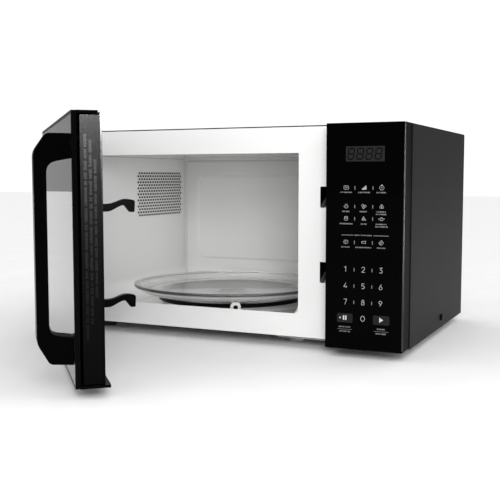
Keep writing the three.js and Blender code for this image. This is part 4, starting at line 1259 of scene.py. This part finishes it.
def panel_display():
    """A smoky window with four slanted figure eights, unlit."""
    bm = bmesh.new()
    prism(bm, [rectangle(*DISPLAY, 0.4)], -2.0, -0.5, on_panel)
    add_piece("display_lens", bm, "display", "cabinet", ["display_window"],
              round_edges=0.15)
    bm = bmesh.new()
    wide, tall, thick, gap = 6.6, 11.4, 1.3, 0.25
    pitch, slant = 10.2, 0.14
    middle_v = (DISPLAY[1] + DISPLAY[3]) / 2

    def bar(a, b, u):
        along = (Vector(b) - Vector(a)).normalized()
        across = Vector((-along.y, along.x)) * thick / 2
        start, end = Vector(a) + along * gap, Vector(b) - along * gap
        inset = along * thick / 2
        corners = [start, start + inset - across, end - inset - across, end, end - inset + across,
                   start + inset + across]
        slanted = [(u + corner.x + corner.y * slant, middle_v + corner.y) for corner in corners]
        prism(bm, [slanted], -0.52, -0.44, on_panel)

    half_w, half_t = wide / 2, tall / 2
    for index in range(4):
        u = (DISPLAY[0] + DISPLAY[2]) / 2 + (index - 1.5) * pitch - 0.4
        for v in (-half_t, 0, half_t):
            bar((-half_w, v), (half_w, v), u)
        for side in (-half_w, half_w):
            bar((side, -half_t), (side, 0), u)
            bar((side, 0), (side, half_t), u)
    add_piece("display_segments", bm, "segment", "cabinet")


def panel_marks():
    """Icons, figures and key faces printed on the plate; captions become rows of dashes."""
    bm = bmesh.new()
    for row, icons in zip(ICON_ROWS, ICONS):
        for column, draw in zip(COLUMNS, icons):
            draw(bm, column, row)
    for row, digits in DIGIT_ROWS:
        for column, digit in zip(COLUMNS, digits):
            draw_digit(bm, digit, column, row)
    draw_digit(bm, "0", COLUMNS[1], 34.9)
    patch(bm, circle(17.5, 34.6, 0.9, 14), INK, 2 * INK)
    for left in (20.7, 23.3):
        patch(bm, rectangle(left, 32.4, left + 1.6, 37.2), INK, 2 * INK)
    patch(bm, [(62.0, 31.9), (66.4, 34.7), (62.0, 37.5)], INK, 2 * INK)
    add_piece("panel_figures", bm, "ink", "cabinet")

    bm = bmesh.new()
    chance = random.Random(11)
    for row in (*ICON_ROWS, *[level for level, _ in DIGIT_ROWS]):
        for u in SEPARATORS:
            patch(bm, rectangle(u - 0.4, row - 2.2, u + 0.4, row + 1.6, 0.3, 2))
    widths = ((13.5, 13.0, 11.5), (8.5, 9.5, 11.5), (14.5, 6.5, 12.5), (10.0, 18.0, 9.5))
    for index, (level, row_widths) in enumerate(zip(LABEL_ROWS, widths)):
        for column, width in zip(COLUMNS, row_widths):
            draw_dashes(bm, chance, column, level, width)
            if column == COLUMNS[2] and index in (1, 2):
                draw_dashes(bm, chance, column, level - 2.6, width + 1)
    for left, right in ((18.2, 32.1), (54.4, 71.2)):
        patch(bm, rectangle(left, 125.7, right, 126.3))
    draw_dashes(bm, chance, 43.3, 126.0, 20.0, 1.2)
    for middle in (22.8, 64.0):
        draw_dashes(bm, chance, middle, 24.6, 14.0 if middle < 40 else 9.0)
        patch(bm, rectangle(middle - 8.4, 21.9, middle + 8.4, 22.2))
        draw_dashes(bm, chance, middle, 19.6, 12.0)
    add_piece("panel_captions", bm, "dim_ink", "cabinet")

    bm = bmesh.new()
    patch(bm, rectangle(13.8, 29.5, 31.8, 39.6, 1.6))
    patch(bm, rectangle(54.9, 29.3, 73.2, 39.5, 1.6))
    add_piece("panel_keys", bm, "key", "cabinet")


def build_panel():
    panel_housing()
    panel_front()
    panel_edge()
    panel_display()
    panel_marks()


# ------------------------------------------------------------------ scene

add_camera()
add_lights()
add_surroundings()
add_floor()
finish_cad_nodes()
build_cabinet()
build_turntable()
build_door()
build_panel()
